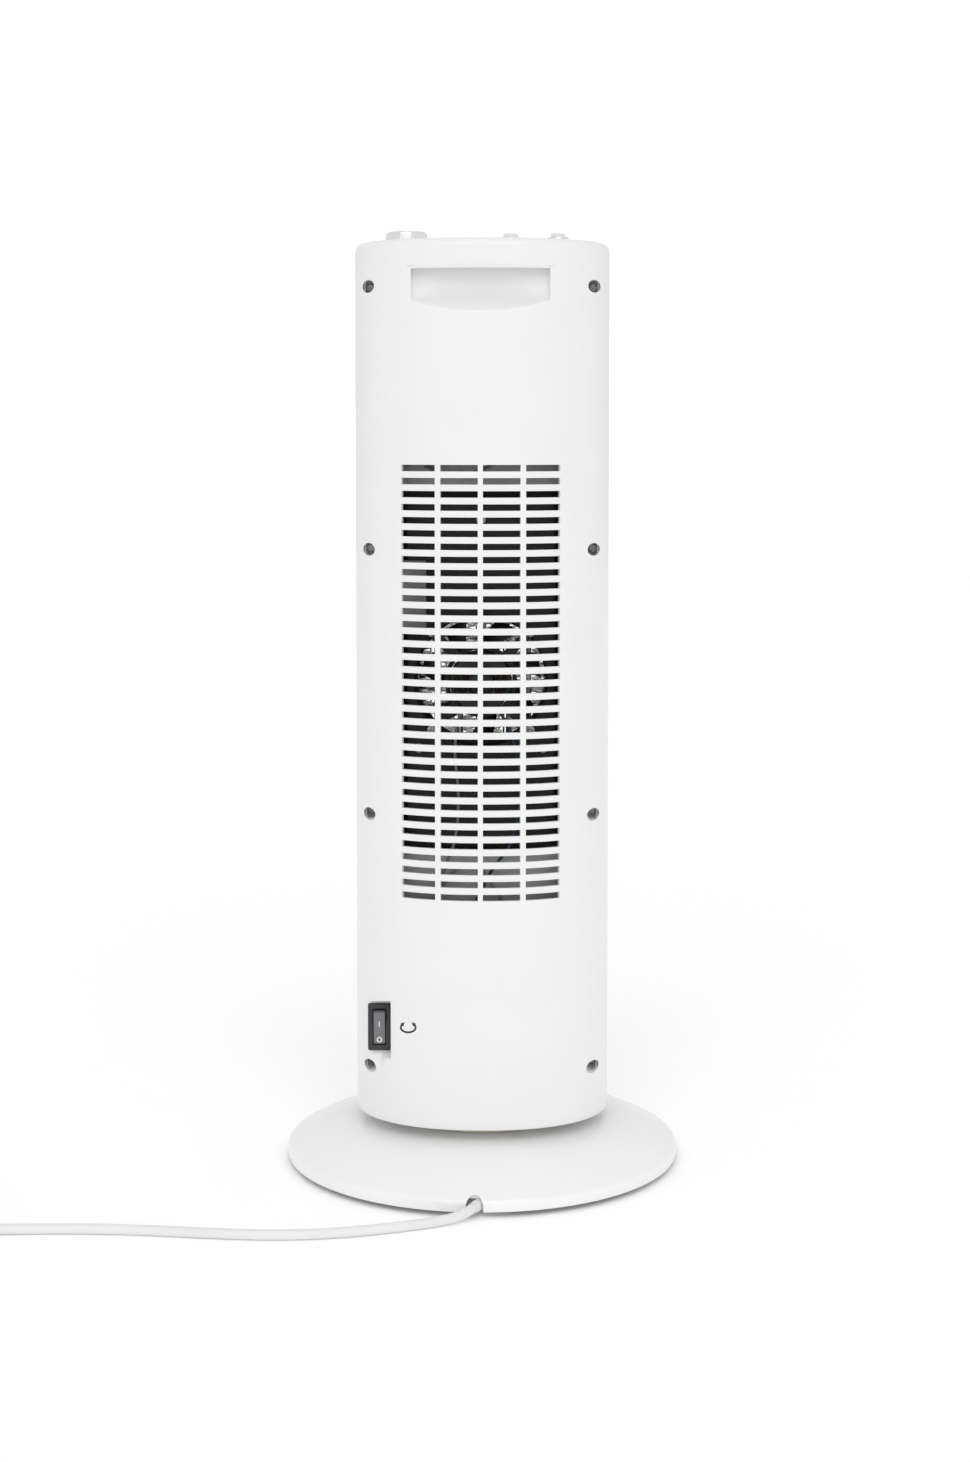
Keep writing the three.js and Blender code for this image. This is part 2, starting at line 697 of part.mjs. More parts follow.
function plugBody() {
  const { x, back, face, middle, half } = PLUG;
  const shape = new THREE.Shape();
  shape.moveTo(x - half, face);
  shape.lineTo(x + half, face);
  shape.lineTo(x + half, face + 12);
  shape.quadraticCurveTo(x + half, face + 22, x + 6, back - 8);
  shape.lineTo(x + 5, back);
  shape.lineTo(x - 5, back);
  shape.lineTo(x - 6, back - 8);
  shape.quadraticCurveTo(x - half, face + 22, x - half, face + 12);
  const options = {
    depth: 14,
    bevelThickness: 2,
    bevelSize: 2,
    bevelOffset: -2,
    bevelSegments: 1,
    curveSegments: 4,
  };
  const body = solid(new THREE.ExtrudeGeometry(shape, options).translate(0, 0, middle - 7));
  const holes = [-1, 1].map((side) => peg(2.7, x + side * PIN_OFFSET, middle, face - 2, face + 6));
  return cut(body, ...holes);
}

function plugPin(side) {
  return peg(2.4, PLUG.x + side * PIN_OFFSET, PLUG.middle, PLUG.face - 19, PLUG.face + 5.5);
}

// ---- Assembly ----
const group = new THREE.Group();
const base = new THREE.Group();
const tower = new THREE.Group();
const cord = new THREE.Group();
group.add(base, tower, cord);

function place(parent, name, body, finish) {
  const mesh = new THREE.Mesh(geometryOf(body), new THREE.MeshStandardMaterial(finish));
  mesh.name = name;
  parent.add(mesh);
}

place(base, "base_cover", baseCover(), WHITE);
place(base, "base_plate", basePlate(), DARK);
place(base, "ballast_ring", ballastRing(), IRON);
FEET.forEach((angle, i) => place(base, `foot_${i + 1}`, foot(angle), RUBBER));
BOSS_ANGLES.forEach((angle, i) => place(base, `base_screw_${i + 1}`, baseScrew(angle), STEEL));
place(base, "swivel_hub", swivelHub(), NYLON);
place(base, "bearing_ring", ring(BEARING.inner, BEARING.outer, 28.3, 31.6), NYLON);
place(base, "slotted_arm", slottedArm(), STEEL);
place(base, "base_lead", baseLead(), GREY);

const body = towerBody();
place(tower, "rear_cover", rearCover(body), WHITE);
place(tower, "front_cover", frontCover(body), WHITE);
place(tower, "outlet_grille", outletGrille(body), DARK);
place(tower, "tower_floor", towerFloor(), WHITE);
place(tower, "top_panel", topPanel(), WHITE);
caseScrewPlaces().forEach((spot, i) => place(tower, `case_screw_${i + 1}`, caseScrew(spot), STEEL));
place(tower, "swing_motor", swingMotor(), STEEL);
place(tower, "swing_crank", swingCrank(), NYLON);
place(tower, "tilt_switch", tiltSwitch(), DARK);
place(tower, "tilt_pendulum", tiltPendulum(), STEEL);
place(tower, "fan_housing", fanHousing(), BLACK);
place(tower, "motor_bracket", motorBracket(), STEEL);
place(tower, "fan_motor", fanMotor(), STEEL);
place(tower, "fan_wheel", fanWheel(), BLACK);
place(tower, "heater_frame", heaterFrame(), DARK);
for (let i = 0; i < 3; i++) place(tower, `ceramic_bar_${i + 1}`, ceramicBar(i), CERAMIC);
place(tower, "thermal_cutout", thermalCutout(), STEEL);
place(tower, "thermostat", thermostat(), NYLON);
place(tower, "thermostat_knob", thermostatKnob(), CHROME);
place(tower, "mode_switch", modeSwitch(), NYLON);
place(tower, "heat_button", pushButton(CONTROLS.heatButton), WHITE);
place(tower, "fan_button", pushButton(CONTROLS.fanButton), WHITE);
place(tower, "heat_button_ring", buttonRing(CONTROLS.heatButton), CHROME);
place(tower, "fan_button_ring", buttonRing(CONTROLS.fanButton), CHROME);
place(tower, "pilot_lens", pilotLens(), AMBER);
place(tower, "rocker_case", rockerCase(), DARK);
place(tower, "rocker", rocker(), GREY);
place(tower, "terminal_block", terminalBlock(), NYLON);
place(tower, "wire_loom", wireLoom(), GREY);

place(cord, "cord_gland", cordGland(), WHITE);
place(cord, "power_cord", tube(CORD_ROUTE, CORD_RADIUS, 26), WHITE);
place(cord, "cord_coil", coilRing(), WHITE);
place(cord, "cord_tail", tube(TAIL_ROUTE, CORD_RADIUS, 3), WHITE);
place(cord, "cord_tie", cordTie(), DARK);
place(cord, "plug_body", plugBody(), WHITE);
place(cord, "plug_pin_1", plugPin(-1), CHROME);
place(cord, "plug_pin_2", plugPin(1), CHROME);

export default group;
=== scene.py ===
"""Looks of an oscillating ceramic tower heater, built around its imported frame.

All lengths are metres. +Z is up, the intake, the grip and the swing switch face +Y,
and the origin is the middle of the round base on the floor.
"""

import logging
import math
from dataclasses import dataclass, field
from enum import Enum

import bmesh
import bpy
import numpy as np
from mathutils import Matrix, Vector


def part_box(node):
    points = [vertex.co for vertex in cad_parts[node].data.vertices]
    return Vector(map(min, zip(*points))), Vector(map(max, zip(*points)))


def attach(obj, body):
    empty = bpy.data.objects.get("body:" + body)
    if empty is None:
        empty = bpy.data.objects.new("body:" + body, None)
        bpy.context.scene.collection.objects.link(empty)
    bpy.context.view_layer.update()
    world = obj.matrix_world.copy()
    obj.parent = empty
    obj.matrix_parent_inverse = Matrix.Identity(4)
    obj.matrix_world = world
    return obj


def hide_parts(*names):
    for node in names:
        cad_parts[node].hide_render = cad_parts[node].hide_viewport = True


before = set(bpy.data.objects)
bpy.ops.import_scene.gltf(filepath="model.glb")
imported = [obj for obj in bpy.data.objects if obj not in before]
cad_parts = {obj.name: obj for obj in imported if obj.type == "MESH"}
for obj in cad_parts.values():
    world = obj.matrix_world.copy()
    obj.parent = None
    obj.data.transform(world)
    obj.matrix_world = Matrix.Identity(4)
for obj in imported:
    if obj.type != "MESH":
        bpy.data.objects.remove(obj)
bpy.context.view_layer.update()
LOG = logging.getLogger("heater")
MM = 0.001

TOWER_MIDDLE = (0, 0, 0.31)  # a point on the tower's axis, which its outer surfaces face away from

Array = np.ndarray
Tree = bpy.types.NodeTree
Node = bpy.types.Node
Socket = bpy.types.NodeSocket


# ---------------------------------------------------------------- mesh helpers
def grid_quads(rows: int, cols: int, wrap: bool = False, keep: Array | None = None) -> Array:
    """Return the quads of a grid of points stored row by row.

    Args:
        rows: number of point rows.
        cols: number of points in a row.
        wrap: True when the last column joins the first.
        keep: optional mask of cells, (rows - 1, cells in a row), False where a cell is left open.

    Returns:
        An (n, 4) array of point numbers.
    """
    cells = cols if wrap else cols - 1
    i, j = np.meshgrid(np.arange(rows - 1), np.arange(cells), indexing="ij")
    k = (j + 1) % cols
    quads = np.stack([i * cols + j, i * cols + k, (i + 1) * cols + k, (i + 1) * cols + j], axis=-1)
    return quads[keep] if keep is not None else quads.reshape(-1, 4)


def mesh_piece(
    name: str,
    points: Array,
    faces: list,
    merge: float = 1e-6,
    outward: bool = True,
    inside: tuple[float, float, float] | None = None,
) -> bpy.types.Object:
    """Make a mesh object at the origin from points and faces, with its doubles merged.

    Args:
        name: name of the object.
        points: (n, 3) places in metres.
        faces: lists or rows of point numbers.
        merge: distance under which points are one.
        outward: True to turn all faces outwards after merging.
        inside: for an open surface, a point that its faces turn away from.

    Returns:
        The linked object, shaded smooth.
    """
    mesh = bpy.data.meshes.new(name)
    places = np.asarray(points, float).reshape(-1, 3).tolist()
    mesh.from_pydata(places, [], [list(map(int, face)) for face in faces])
    work = bmesh.new()
    work.from_mesh(mesh)
    bmesh.ops.remove_doubles(work, verts=work.verts, dist=merge)
    bmesh.ops.dissolve_degenerate(work, edges=work.edges, dist=merge)
    if outward:
        bmesh.ops.recalc_face_normals(work, faces=work.faces)
    if inside is not None:
        centre = Vector(inside)
        facing = sum(f.calc_area() * f.normal.dot(f.calc_center_median() - centre) for f in work.faces)
        if facing < 0:
            bmesh.ops.reverse_faces(work, faces=work.faces)
    work.to_mesh(mesh)
    work.free()
    mesh.polygons.foreach_set("use_smooth", np.ones(len(mesh.polygons), bool))
    piece = bpy.data.objects.new(name, mesh)
    bpy.context.scene.collection.objects.link(piece)
    return piece


def bake_modifiers(piece: bpy.types.Object, sharp_degrees: float = 35.0) -> bpy.types.Object:
    """Apply a piece's modifiers and mark its edges sharp above an angle.

    Args:
        piece: the object whose modifiers are applied.
        sharp_degrees: edges bent more than this stay sharp.

    Returns:
        The same object.
    """
    seen = piece.evaluated_get(bpy.context.evaluated_depsgraph_get())
    mesh = bpy.data.meshes.new_from_object(seen)
    mesh.name = piece.name
    piece.modifiers.clear()
    piece.data = mesh
    mesh.polygons.foreach_set("use_smooth", np.ones(len(mesh.polygons), bool))
    mesh.set_sharp_from_angle(angle=math.radians(sharp_degrees))
    return piece


def thicken(piece: bpy.types.Object, wall: float) -> None:
    """Give an open surface a wall on its inner side."""
    solid = piece.modifiers.new("wall", "SOLIDIFY")
    solid.thickness = wall
    solid.offset = -1.0
    solid.use_even_offset = True
    solid.use_quality_normals = True


def soften(piece: bpy.types.Object, width: float, segments: int = 2, degrees: float = 40.0) -> None:
    """Round the edges that are bent more than an angle."""
    bevel = piece.modifiers.new("soften", "BEVEL")
    bevel.width = width
    bevel.segments = segments
    bevel.limit_method = "ANGLE"
    bevel.angle_limit = math.radians(degrees)
    bevel.harden_normals = False


def carve(piece: bpy.types.Object, *tools: bpy.types.Object) -> bpy.types.Object:
    """Cut closed tools out of a piece, apply the cuts and delete the tools."""
    for tool in tools:
        cut = piece.modifiers.new("cut", "BOOLEAN")
        cut.operation = "DIFFERENCE"
        cut.solver = "EXACT"
        cut.object = tool
    bake_modifiers(piece)
    for tool in tools:
        bpy.data.objects.remove(tool)
    return piece


def joined(name: str, pieces: list[bpy.types.Object], merge: float = 1e-7) -> bpy.types.Object:
    """Join the meshes of several objects into one new object and delete them."""
    points, faces, count = [], [], 0
    for piece in pieces:
        mesh = piece.data
        co = np.empty(len(mesh.vertices) * 3)
        mesh.vertices.foreach_get("co", co)
        points.append(co.reshape(-1, 3))
        faces.extend([[v + count for v in poly.vertices] for poly in mesh.polygons])
        count += len(mesh.vertices)
        bpy.data.objects.remove(piece)
    whole = mesh_piece(name, np.concatenate(points), faces, merge, outward=False)
    whole.data.set_sharp_from_angle(angle=math.radians(35))
    return whole


def arc(centre: tuple[float, float], radius: float, start: float, end: float, steps: int) -> Array:
    """Points of a circular arc, from a start to an end angle in degrees."""
    angle = np.radians(np.linspace(start, end, steps))
    return np.stack([centre[0] + radius * np.cos(angle), centre[1] + radius * np.sin(angle)], axis=1)


def basis(axis: Array) -> tuple[Array, Array, Array]:
    """Return two unit directions square to an axis, and the unit axis."""
    w = np.asarray(axis, float) / np.linalg.norm(axis)
    helper = np.array([1.0, 0, 0]) if abs(w[0]) < 0.9 else np.array([0, 1.0, 0])
    u = np.cross(helper, w)
    u /= np.linalg.norm(u)
    return u, np.cross(w, u), w


def turned(
    name: str, profile: Array, centre: Array, axis: Array = (0, 0, 1), steps: int = 64, merge: float = 1e-6
) -> bpy.types.Object:
    """Turn a profile about an axis.

    A point is the centre, plus its height along the axis, plus its radius times
    (cos a, sin a) in the plane square to the axis.

    Args:
        name: name of the object.
        profile: (n, 2) radii and heights; it starts and ends on the axis, or on its own first point.
        centre: a point of the axis.
        axis: direction of the heights.
        steps: points around.
        merge: merging distance.

    Returns:
        The turned piece.
    """
    profile = np.asarray(profile, float)
    u, v, w = basis(np.asarray(axis, float))
    angle = np.linspace(0, 2 * np.pi, steps, endpoint=False)
    ring = np.cos(angle)[:, None] * u + np.sin(angle)[:, None] * v
    points = np.asarray(centre) + profile[:, 0, None, None] * ring + profile[:, 1, None, None] * w
    return mesh_piece(name, points, grid_quads(len(profile), steps, wrap=True), merge)


def smooth_route(points: Array, spacing: float) -> Array:
    """Sample a centripetal Catmull-Rom curve through points at an even spacing."""
    points = np.asarray(points, float)
    ghost = np.vstack([2 * points[0] - points[1], points, 2 * points[-1] - points[-2]])
    pieces = []
    s = np.linspace(0, 1, 12, endpoint=False)[:, None]
    for a, b, c, d in zip(ghost[:-3], ghost[1:-2], ghost[2:-1], ghost[3:]):
        t0 = 0.0
        t1 = t0 + np.linalg.norm(b - a) ** 0.5
        t2 = t1 + np.linalg.norm(c - b) ** 0.5
        t3 = t2 + np.linalg.norm(d - c) ** 0.5
        t = t1 + (t2 - t1) * s
        a1 = (t1 - t) / (t1 - t0) * a + (t - t0) / (t1 - t0) * b
        a2 = (t2 - t) / (t2 - t1) * b + (t - t1) / (t2 - t1) * c
        a3 = (t3 - t) / (t3 - t2) * c + (t - t2) / (t3 - t2) * d
        b1 = (t2 - t) / (t2 - t0) * a1 + (t - t0) / (t2 - t0) * a2
        b2 = (t3 - t) / (t3 - t1) * a2 + (t - t1) / (t3 - t1) * a3
        pieces.append((t2 - t) / (t2 - t1) * b1 + (t - t1) / (t2 - t1) * b2)
    dense = np.vstack([*pieces, points[-1:]])
    run = np.concatenate([[0], np.cumsum(np.linalg.norm(np.diff(dense, axis=0), axis=1))])
    even = np.linspace(0, run[-1], max(2, int(round(run[-1] / spacing)) + 1))
    return np.stack([np.interp(even, run, dense[:, k]) for k in range(3)], axis=1)


def tube(name: str, path: Array, radius: Array | float, sides: int = 16) -> bpy.types.Object:
    """Carry a circle along a path.

    The circle's plane is square to the path, and its axes turn as little as they can from
    point to point. The ends are closed with discs.

    Args:
        name: name of the object.
        path: (n, 3) centre line.
        radius: one radius, or one for each point of the path.
        sides: points around.

    Returns:
        The tube.
    """
    path = np.asarray(path, float)
    radius = np.broadcast_to(np.asarray(radius, float), (len(path),))
    along = np.gradient(path, axis=0)
    along /= np.linalg.norm(along, axis=1, keepdims=True)
    u, _, _ = basis(along[0])
    across = []
    for direction in along:
        u = u - direction * np.dot(u, direction)
        u = u / np.linalg.norm(u)
        across.append(u)
    across = np.array(across)
    other = np.cross(along, across)
    angle = np.linspace(0, 2 * np.pi, sides, endpoint=False)
    ring = np.cos(angle)[None, :, None] * across[:, None] + np.sin(angle)[None, :, None] * other[:, None]
    points = path[:, None] + radius[:, None, None] * ring
    faces = grid_quads(len(path), sides, wrap=True).tolist()
    faces.append(list(range(sides))[::-1])
    faces.append(list(range((len(path) - 1) * sides, len(path) * sides)))
    return mesh_piece(name, points, faces)


def rounded_box(name: str, low: Array, high: Array, radius: float, steps: int = 4) -> bpy.types.Object:
    """A box with round edges: each corner of an inner box plus a radius times a unit direction.

    Args:
        name: name of the object.
        low: lowest corner.
        high: highest corner.
        radius: radius of the edges.
        steps: steps of a quarter turn.

    Returns:
        The box.
    """
    low, high = np.asarray(low, float), np.asarray(high, float)
    middle, half = (low + high) / 2, (high - low) / 2
    quarter = np.linspace(0, np.pi / 2, steps + 1)
    around = np.concatenate([quarter + k * np.pi / 2 for k in range(4)])
    sign_x = np.repeat([1, -1, -1, 1], steps + 1)
    sign_y = np.repeat([1, 1, -1, -1], steps + 1)
    up = np.concatenate([quarter - np.pi / 2, quarter])
    sign_z = np.repeat([-1, 1], steps + 1)
    every_row, every_column = np.ones(len(up)), np.ones(len(around))
    flat_x, flat_y = (np.outer(np.cos(up), part) for part in (np.cos(around), np.sin(around)))
    direction = np.stack([flat_x, flat_y, np.outer(np.sin(up), every_column)], axis=-1)
    sign = np.stack(
        [np.outer(every_row, sign_x), np.outer(every_row, sign_y), np.outer(sign_z, every_column)], axis=-1
    )
    points = middle + sign * (half - radius) + radius * direction
    rows, cols = len(up), len(around)
    faces = grid_quads(rows, cols, wrap=True).tolist()
    faces.append(list(range(cols))[::-1])
    faces.append(list(range((rows - 1) * cols, rows * cols)))
    return mesh_piece(name, points, faces)


# ---------------------------------------------------------------- finishes
class Pattern(Enum):
    """Named fine patterns that a finish can carry in its bump."""

    GRAIN = "grain"
    BRUSHED = "brushed"
    CAST = "cast"
    LAYERS = "layers"
    WINDINGS = "windings"


@dataclass(frozen=True)
class Finish:
    """A procedural finish: a principled surface with mottled colour, uneven gloss and fine relief.

    The colour runs between two tones over a slow noise, the roughness between two values over
    a finer one, and the relief follows the named pattern. All patterns read object coordinates.
    """

    name: str
    tone: tuple[float, float, float]
    shade: float = 0.97
    rough: tuple[float, float] = (0.38, 0.46)
    metallic: float = 0.0
    pattern: Pattern = Pattern.GRAIN
    scale: float = 1400.0
    relief: float = 0.02
    coat: float = 0.0
    mottle: float = 28.0
    transmission: float = 0.0
    emission: float = 0.0

    def material(self) -> bpy.types.Material:
        """Build the material.

        Returns:
            The node-based material.
        """
        made = bpy.data.materials.new(self.name)
        made.use_nodes = True
        tree = made.node_tree
        shader = tree.nodes["Principled BSDF"]
        place = tree.nodes.new("ShaderNodeTexCoord").outputs["Object"]
        self._colour(tree, shader, place)
        self._gloss(tree, shader, place)
        self._relief(tree, shader, place)
        shader.inputs["Metallic"].default_value = self.metallic
        shader.inputs["Coat Weight"].default_value = self.coat
        shader.inputs["Coat Roughness"].default_value = 0.12
        shader.inputs["Transmission Weight"].default_value = self.transmission
        if self.emission:
            shader.inputs["Emission Color"].default_value = (*self.tone, 1)
            shader.inputs["Emission Strength"].default_value = self.emission
        return made

    def _noise(self, tree: Tree, place: Socket, scale: float, detail: float = 3.0) -> Node:
        """Add a noise node on object coordinates."""
        noise = tree.nodes.new("ShaderNodeTexNoise")
        noise.inputs["Scale"].default_value = scale
        noise.inputs["Detail"].default_value = detail
        tree.links.new(place, noise.inputs["Vector"])
        return noise

    def _colour(self, tree: Tree, shader: Node, place: Socket) -> None:
        """Run the base colour between the tone and a darker shade of it."""
        ramp = tree.nodes.new("ShaderNodeValToRGB")
        dark = tuple(c * self.shade for c in self.tone)
        ramp.color_ramp.elements[0].position = 0.35
        ramp.color_ramp.elements[0].color = (*dark, 1)
        ramp.color_ramp.elements[1].position = 0.65
        ramp.color_ramp.elements[1].color = (*self.tone, 1)
        tree.links.new(self._noise(tree, place, self.mottle).outputs["Fac"], ramp.inputs["Fac"])
        tree.links.new(ramp.outputs["Color"], shader.inputs["Base Color"])

    def _gloss(self, tree: Tree, shader: Node, place: Socket) -> None:
        """Run the roughness between its two values."""
        spread = tree.nodes.new("ShaderNodeMapRange")
        spread.inputs["To Min"].default_value = self.rough[0]
        spread.inputs["To Max"].default_value = self.rough[1]
        noise = self._noise(tree, place, self.scale * 0.12, 4.0)
        tree.links.new(noise.outputs["Fac"], spread.inputs["Value"])
        tree.links.new(spread.outputs["Result"], shader.inputs["Roughness"])

    def _relief(self, tree: Tree, shader: Node, place: Socket) -> None:
        """Add the fine relief of the named pattern: straight bands, or noise of less or more detail."""
        if self.pattern in (Pattern.LAYERS, Pattern.WINDINGS):
            height = tree.nodes.new("ShaderNodeTexWave")
            height.wave_type = "BANDS"
            height.bands_direction = "Y" if self.pattern is Pattern.LAYERS else "X"
            height.inputs["Scale"].default_value = self.scale
            height.inputs["Distortion"].default_value = 0.4
            tree.links.new(place, height.inputs["Vector"])
        else:
            height = self._noise(tree, place, self.scale, 2.0 if self.pattern is Pattern.GRAIN else 8.0)
        bump = tree.nodes.new("ShaderNodeBump")
        bump.inputs["Strength"].default_value = self.relief
        bump.inputs["Distance"].default_value = MM
        tree.links.new(height.outputs["Fac"], bump.inputs["Height"])
        tree.links.new(bump.outputs["Normal"], shader.inputs["Normal"])


class Stock:
    """The finishes of the heater, each built once when it is first asked for."""

    FINISHES = {
        f.name: f
        for f in (
            Finish("white_shell", (0.83, 0.83, 0.827), 0.985, (0.30, 0.38), relief=0.05, coat=0.15),
            Finish("white_base", (0.88, 0.88, 0.877), 0.985, (0.26, 0.34), relief=0.04, coat=0.2),
            Finish("black_duct", (0.018, 0.018, 0.019), 0.7, (0.5, 0.7), relief=0.15, scale=900),
            Finish("grille_black", (0.03, 0.03, 0.032), 0.8, (0.42, 0.55), relief=0.12, scale=1100),
            Finish("bezel_grey", (0.03, 0.031, 0.034), 0.8, (0.42, 0.52), relief=0.18, scale=1500),
            Finish("rocker_grey", (0.19, 0.19, 0.20), 0.88, (0.35, 0.45), relief=0.12, scale=1500),
            Finish("mark_white", (0.80, 0.80, 0.80), 0.96, (0.45, 0.55)),
            Finish("mark_grey", (0.018, 0.018, 0.02), 0.85, (0.45, 0.55)),
            Finish("bright_chrome", (0.88, 0.88, 0.89), 0.97, (0.06, 0.12), 1.0, relief=0.01),
            Finish("zinc_plate", (0.58, 0.58, 0.57), 0.85, (0.28, 0.42), 1.0, Pattern.BRUSHED, 700, 0.06),
            # steel painted near black: painted shade on the motor bracket inside the tower
            Finish("steel_painted_shade", (0.05, 0.05, 0.052), 0.7, (0.4, 0.55), 0.7, Pattern.BRUSHED, 900, 0.08),
            Finish("fin_aluminium", (0.80, 0.80, 0.81), 0.9, (0.2, 0.35), 1.0, Pattern.BRUSHED, 900, 0.06),
            # steel and copper painted near black: painted shade on the motor inside the tower
            Finish("laminations_painted_shade", (0.07, 0.07, 0.075), 0.6, (0.35, 0.5), 0.8, Pattern.LAYERS, 300, 0.5),
            Finish("copper_painted_shade", (0.07, 0.042, 0.03), 0.7, (0.3, 0.45), 0.9, Pattern.WINDINGS, 340, 0.6),
            Finish("plenum_sheet", (0.55, 0.55, 0.55), 0.85, (0.4, 0.55), 0.0, Pattern.BRUSHED, 700, 0.06),
            Finish("capacitor_grey", (0.20, 0.20, 0.205), 0.9, (0.4, 0.5), relief=0.06),
            Finish("cast_iron", (0.07, 0.07, 0.07), 0.6, (0.6, 0.8), 0.6, Pattern.CAST, 260, 0.5),
            Finish("natural_nylon", (0.68, 0.65, 0.56), 0.93, (0.42, 0.55), relief=0.06),
            Finish("foot_rubber", (0.34, 0.34, 0.335), 0.9, (0.7, 0.85), relief=0.25, scale=900),
            Finish("wire_grey", (0.25, 0.25, 0.26), 0.85, (0.4, 0.55), relief=0.08),
            Finish("wire_blue", (0.04, 0.06, 0.12), 0.85, (0.4, 0.55), relief=0.08),
            Finish("wire_brown", (0.10, 0.06, 0.04), 0.85, (0.4, 0.55), relief=0.08),
            Finish("cord_jacket", (0.80, 0.80, 0.797), 0.96, (0.42, 0.52), relief=0.1, scale=1800),
            Finish("strap_black", (0.03, 0.03, 0.03), 0.8, (0.4, 0.5), relief=0.1),
            Finish("pin_brass", (0.66, 0.60, 0.48), 0.9, (0.16, 0.26), 1.0, Pattern.BRUSHED, 900, 0.04),
            Finish("button_white", (0.82, 0.82, 0.817), 0.98, (0.2, 0.28), relief=0.02, coat=0.3),
            Finish("amber_lens", (0.80, 0.22, 0.05), 0.9, (0.08, 0.14), relief=0.02, transmission=0.5),
            Finish(
                "floor_white", (0.97, 0.97, 0.97), 0.995, (0.75, 0.85), scale=300, relief=0.01, emission=0.1
            ),
        )
    }
    _made: dict[str, bpy.types.Material] = {}

    @classmethod
    def get(cls, name: str) -> bpy.types.Material:
        """Return the material of a named finish."""
        if name not in cls._made:
            cls._made[name] = cls.FINISHES[name].material()
        return cls._made[name]

    @classmethod
    def dress(cls, piece: bpy.types.Object, name: str) -> None:
        """Give a piece one finish."""
        piece.data.materials.clear()
        piece.data.materials.append(cls.get(name))


@dataclass
class Assembly:
    """A sub-assembly: it builds pieces, dresses them and ties them to a body."""

    made: list[bpy.types.Object] = field(default_factory=list)

    def fit(
        self,
        piece: bpy.types.Object,
        finish: str,
        body: str,
        slot: str,
        replaces: tuple[str, ...] = (),
    ) -> bpy.types.Object:
        """Dress a piece and tie it to the frame.

        Args:
            piece: the finished object.
            finish: name of its finish.
            body: body that it moves with.
            slot: material slot of the record; not used.
            replaces: nodes that it stands for.

        Returns:
            The piece.
        """
        Stock.dress(piece, finish)
        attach(piece, body)
        if replaces:
            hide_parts(*replaces)
        self.made.append(piece)
        LOG.info("%s: %d faces on %s", piece.name, len(piece.data.polygons), body)
        return piece


# ---------------------------------------------------------------- stage
@dataclass
class Studio:
    """Floor, backdrop, lights and camera."""

    distance: float = 1.4617
    height: float = 0.4675
    aside: float = -0.0272
    turn: float = 1.0
    tilt: float = 3.15
    focal: float = 37.64
    sensor: float = 24.0
    shift: float = -0.1199
    surround: float = 0.8

    def build(self) -> None:
        """Make the stage and the camera."""
        self._camera()
        self._floor()
        self._lights()
        scene = bpy.context.scene
        scene.view_settings.view_transform = "Standard"
        scene.view_settings.look = "None"

    def _camera(self) -> None:
        """Place the camera behind the heater, looking slightly down."""
        data = bpy.data.cameras.new("view")
        data.sensor_fit = "VERTICAL"
        data.sensor_height = self.sensor
        data.lens = self.focal
        data.shift_y = self.shift
        data.clip_end = 50
        camera = bpy.data.objects.new("view", data)
        camera.location = (self.aside, self.distance, self.height)
        camera.rotation_euler = (math.radians(90 - self.tilt), 0, math.radians(180 + self.turn))
        bpy.context.scene.collection.objects.link(camera)
        bpy.context.scene.camera = camera

    def _floor(self) -> None:
        """A wide plain floor."""
        half = 6.0
        points = np.array([[-half, -half, 0], [half, -half, 0], [half, half, 0], [-half, half, 0]])
        floor = mesh_piece("floor", points, [[0, 1, 2, 3]])
        Stock.dress(floor, "floor_white")

    def _lights(self) -> None:
        """A weak key from above the viewer, a low fill and an even bright surround.

        The surround is white where it is seen directly, and dimmer where it lights and reflects.
        """
        world = bpy.data.worlds.new("studio")
        world.use_nodes = True
        tree = world.node_tree
        dim = tree.nodes["Background"]
        dim.inputs["Color"].default_value = (1, 1, 1, 1)
        dim.inputs["Strength"].default_value = self.surround
        white = tree.nodes.new("ShaderNodeBackground")
        white.inputs["Color"].default_value = (1, 1, 1, 1)
        white.inputs["Strength"].default_value = 1.05
        chooser = tree.nodes.new("ShaderNodeMixShader")
        ray = tree.nodes.new("ShaderNodeLightPath")
        tree.links.new(ray.outputs["Is Camera Ray"], chooser.inputs["Fac"])
        tree.links.new(dim.outputs["Background"], chooser.inputs[1])
        tree.links.new(white.outputs["Background"], chooser.inputs[2])
        tree.links.new(chooser.outputs["Shader"], tree.nodes["World Output"].inputs["Surface"])
        bpy.context.scene.world = world
        self._sun("key", 45, 93, 0.6, 50)
        self._sun("low_fill", 12, 90, 0.2, 60)

    def _sun(self, name: str, elevation: float, azimuth: float, strength: float, spread: float) -> None:
        """Add a wide distant light.

        Args:
            name: name of the light.
            elevation: its height over the horizon, in degrees.
            azimuth: its direction from +X towards +Y, in degrees.
            strength: its strength.
            spread: its apparent width, in degrees.
        """
        data = bpy.data.lights.new(name, "SUN")
        data.energy = strength
        data.angle = math.radians(spread)
        light = bpy.data.objects.new(name, data)
        light.rotation_euler = (math.radians(90 - elevation), 0, math.radians(azimuth + 90))
        bpy.context.scene.collection.objects.link(light)


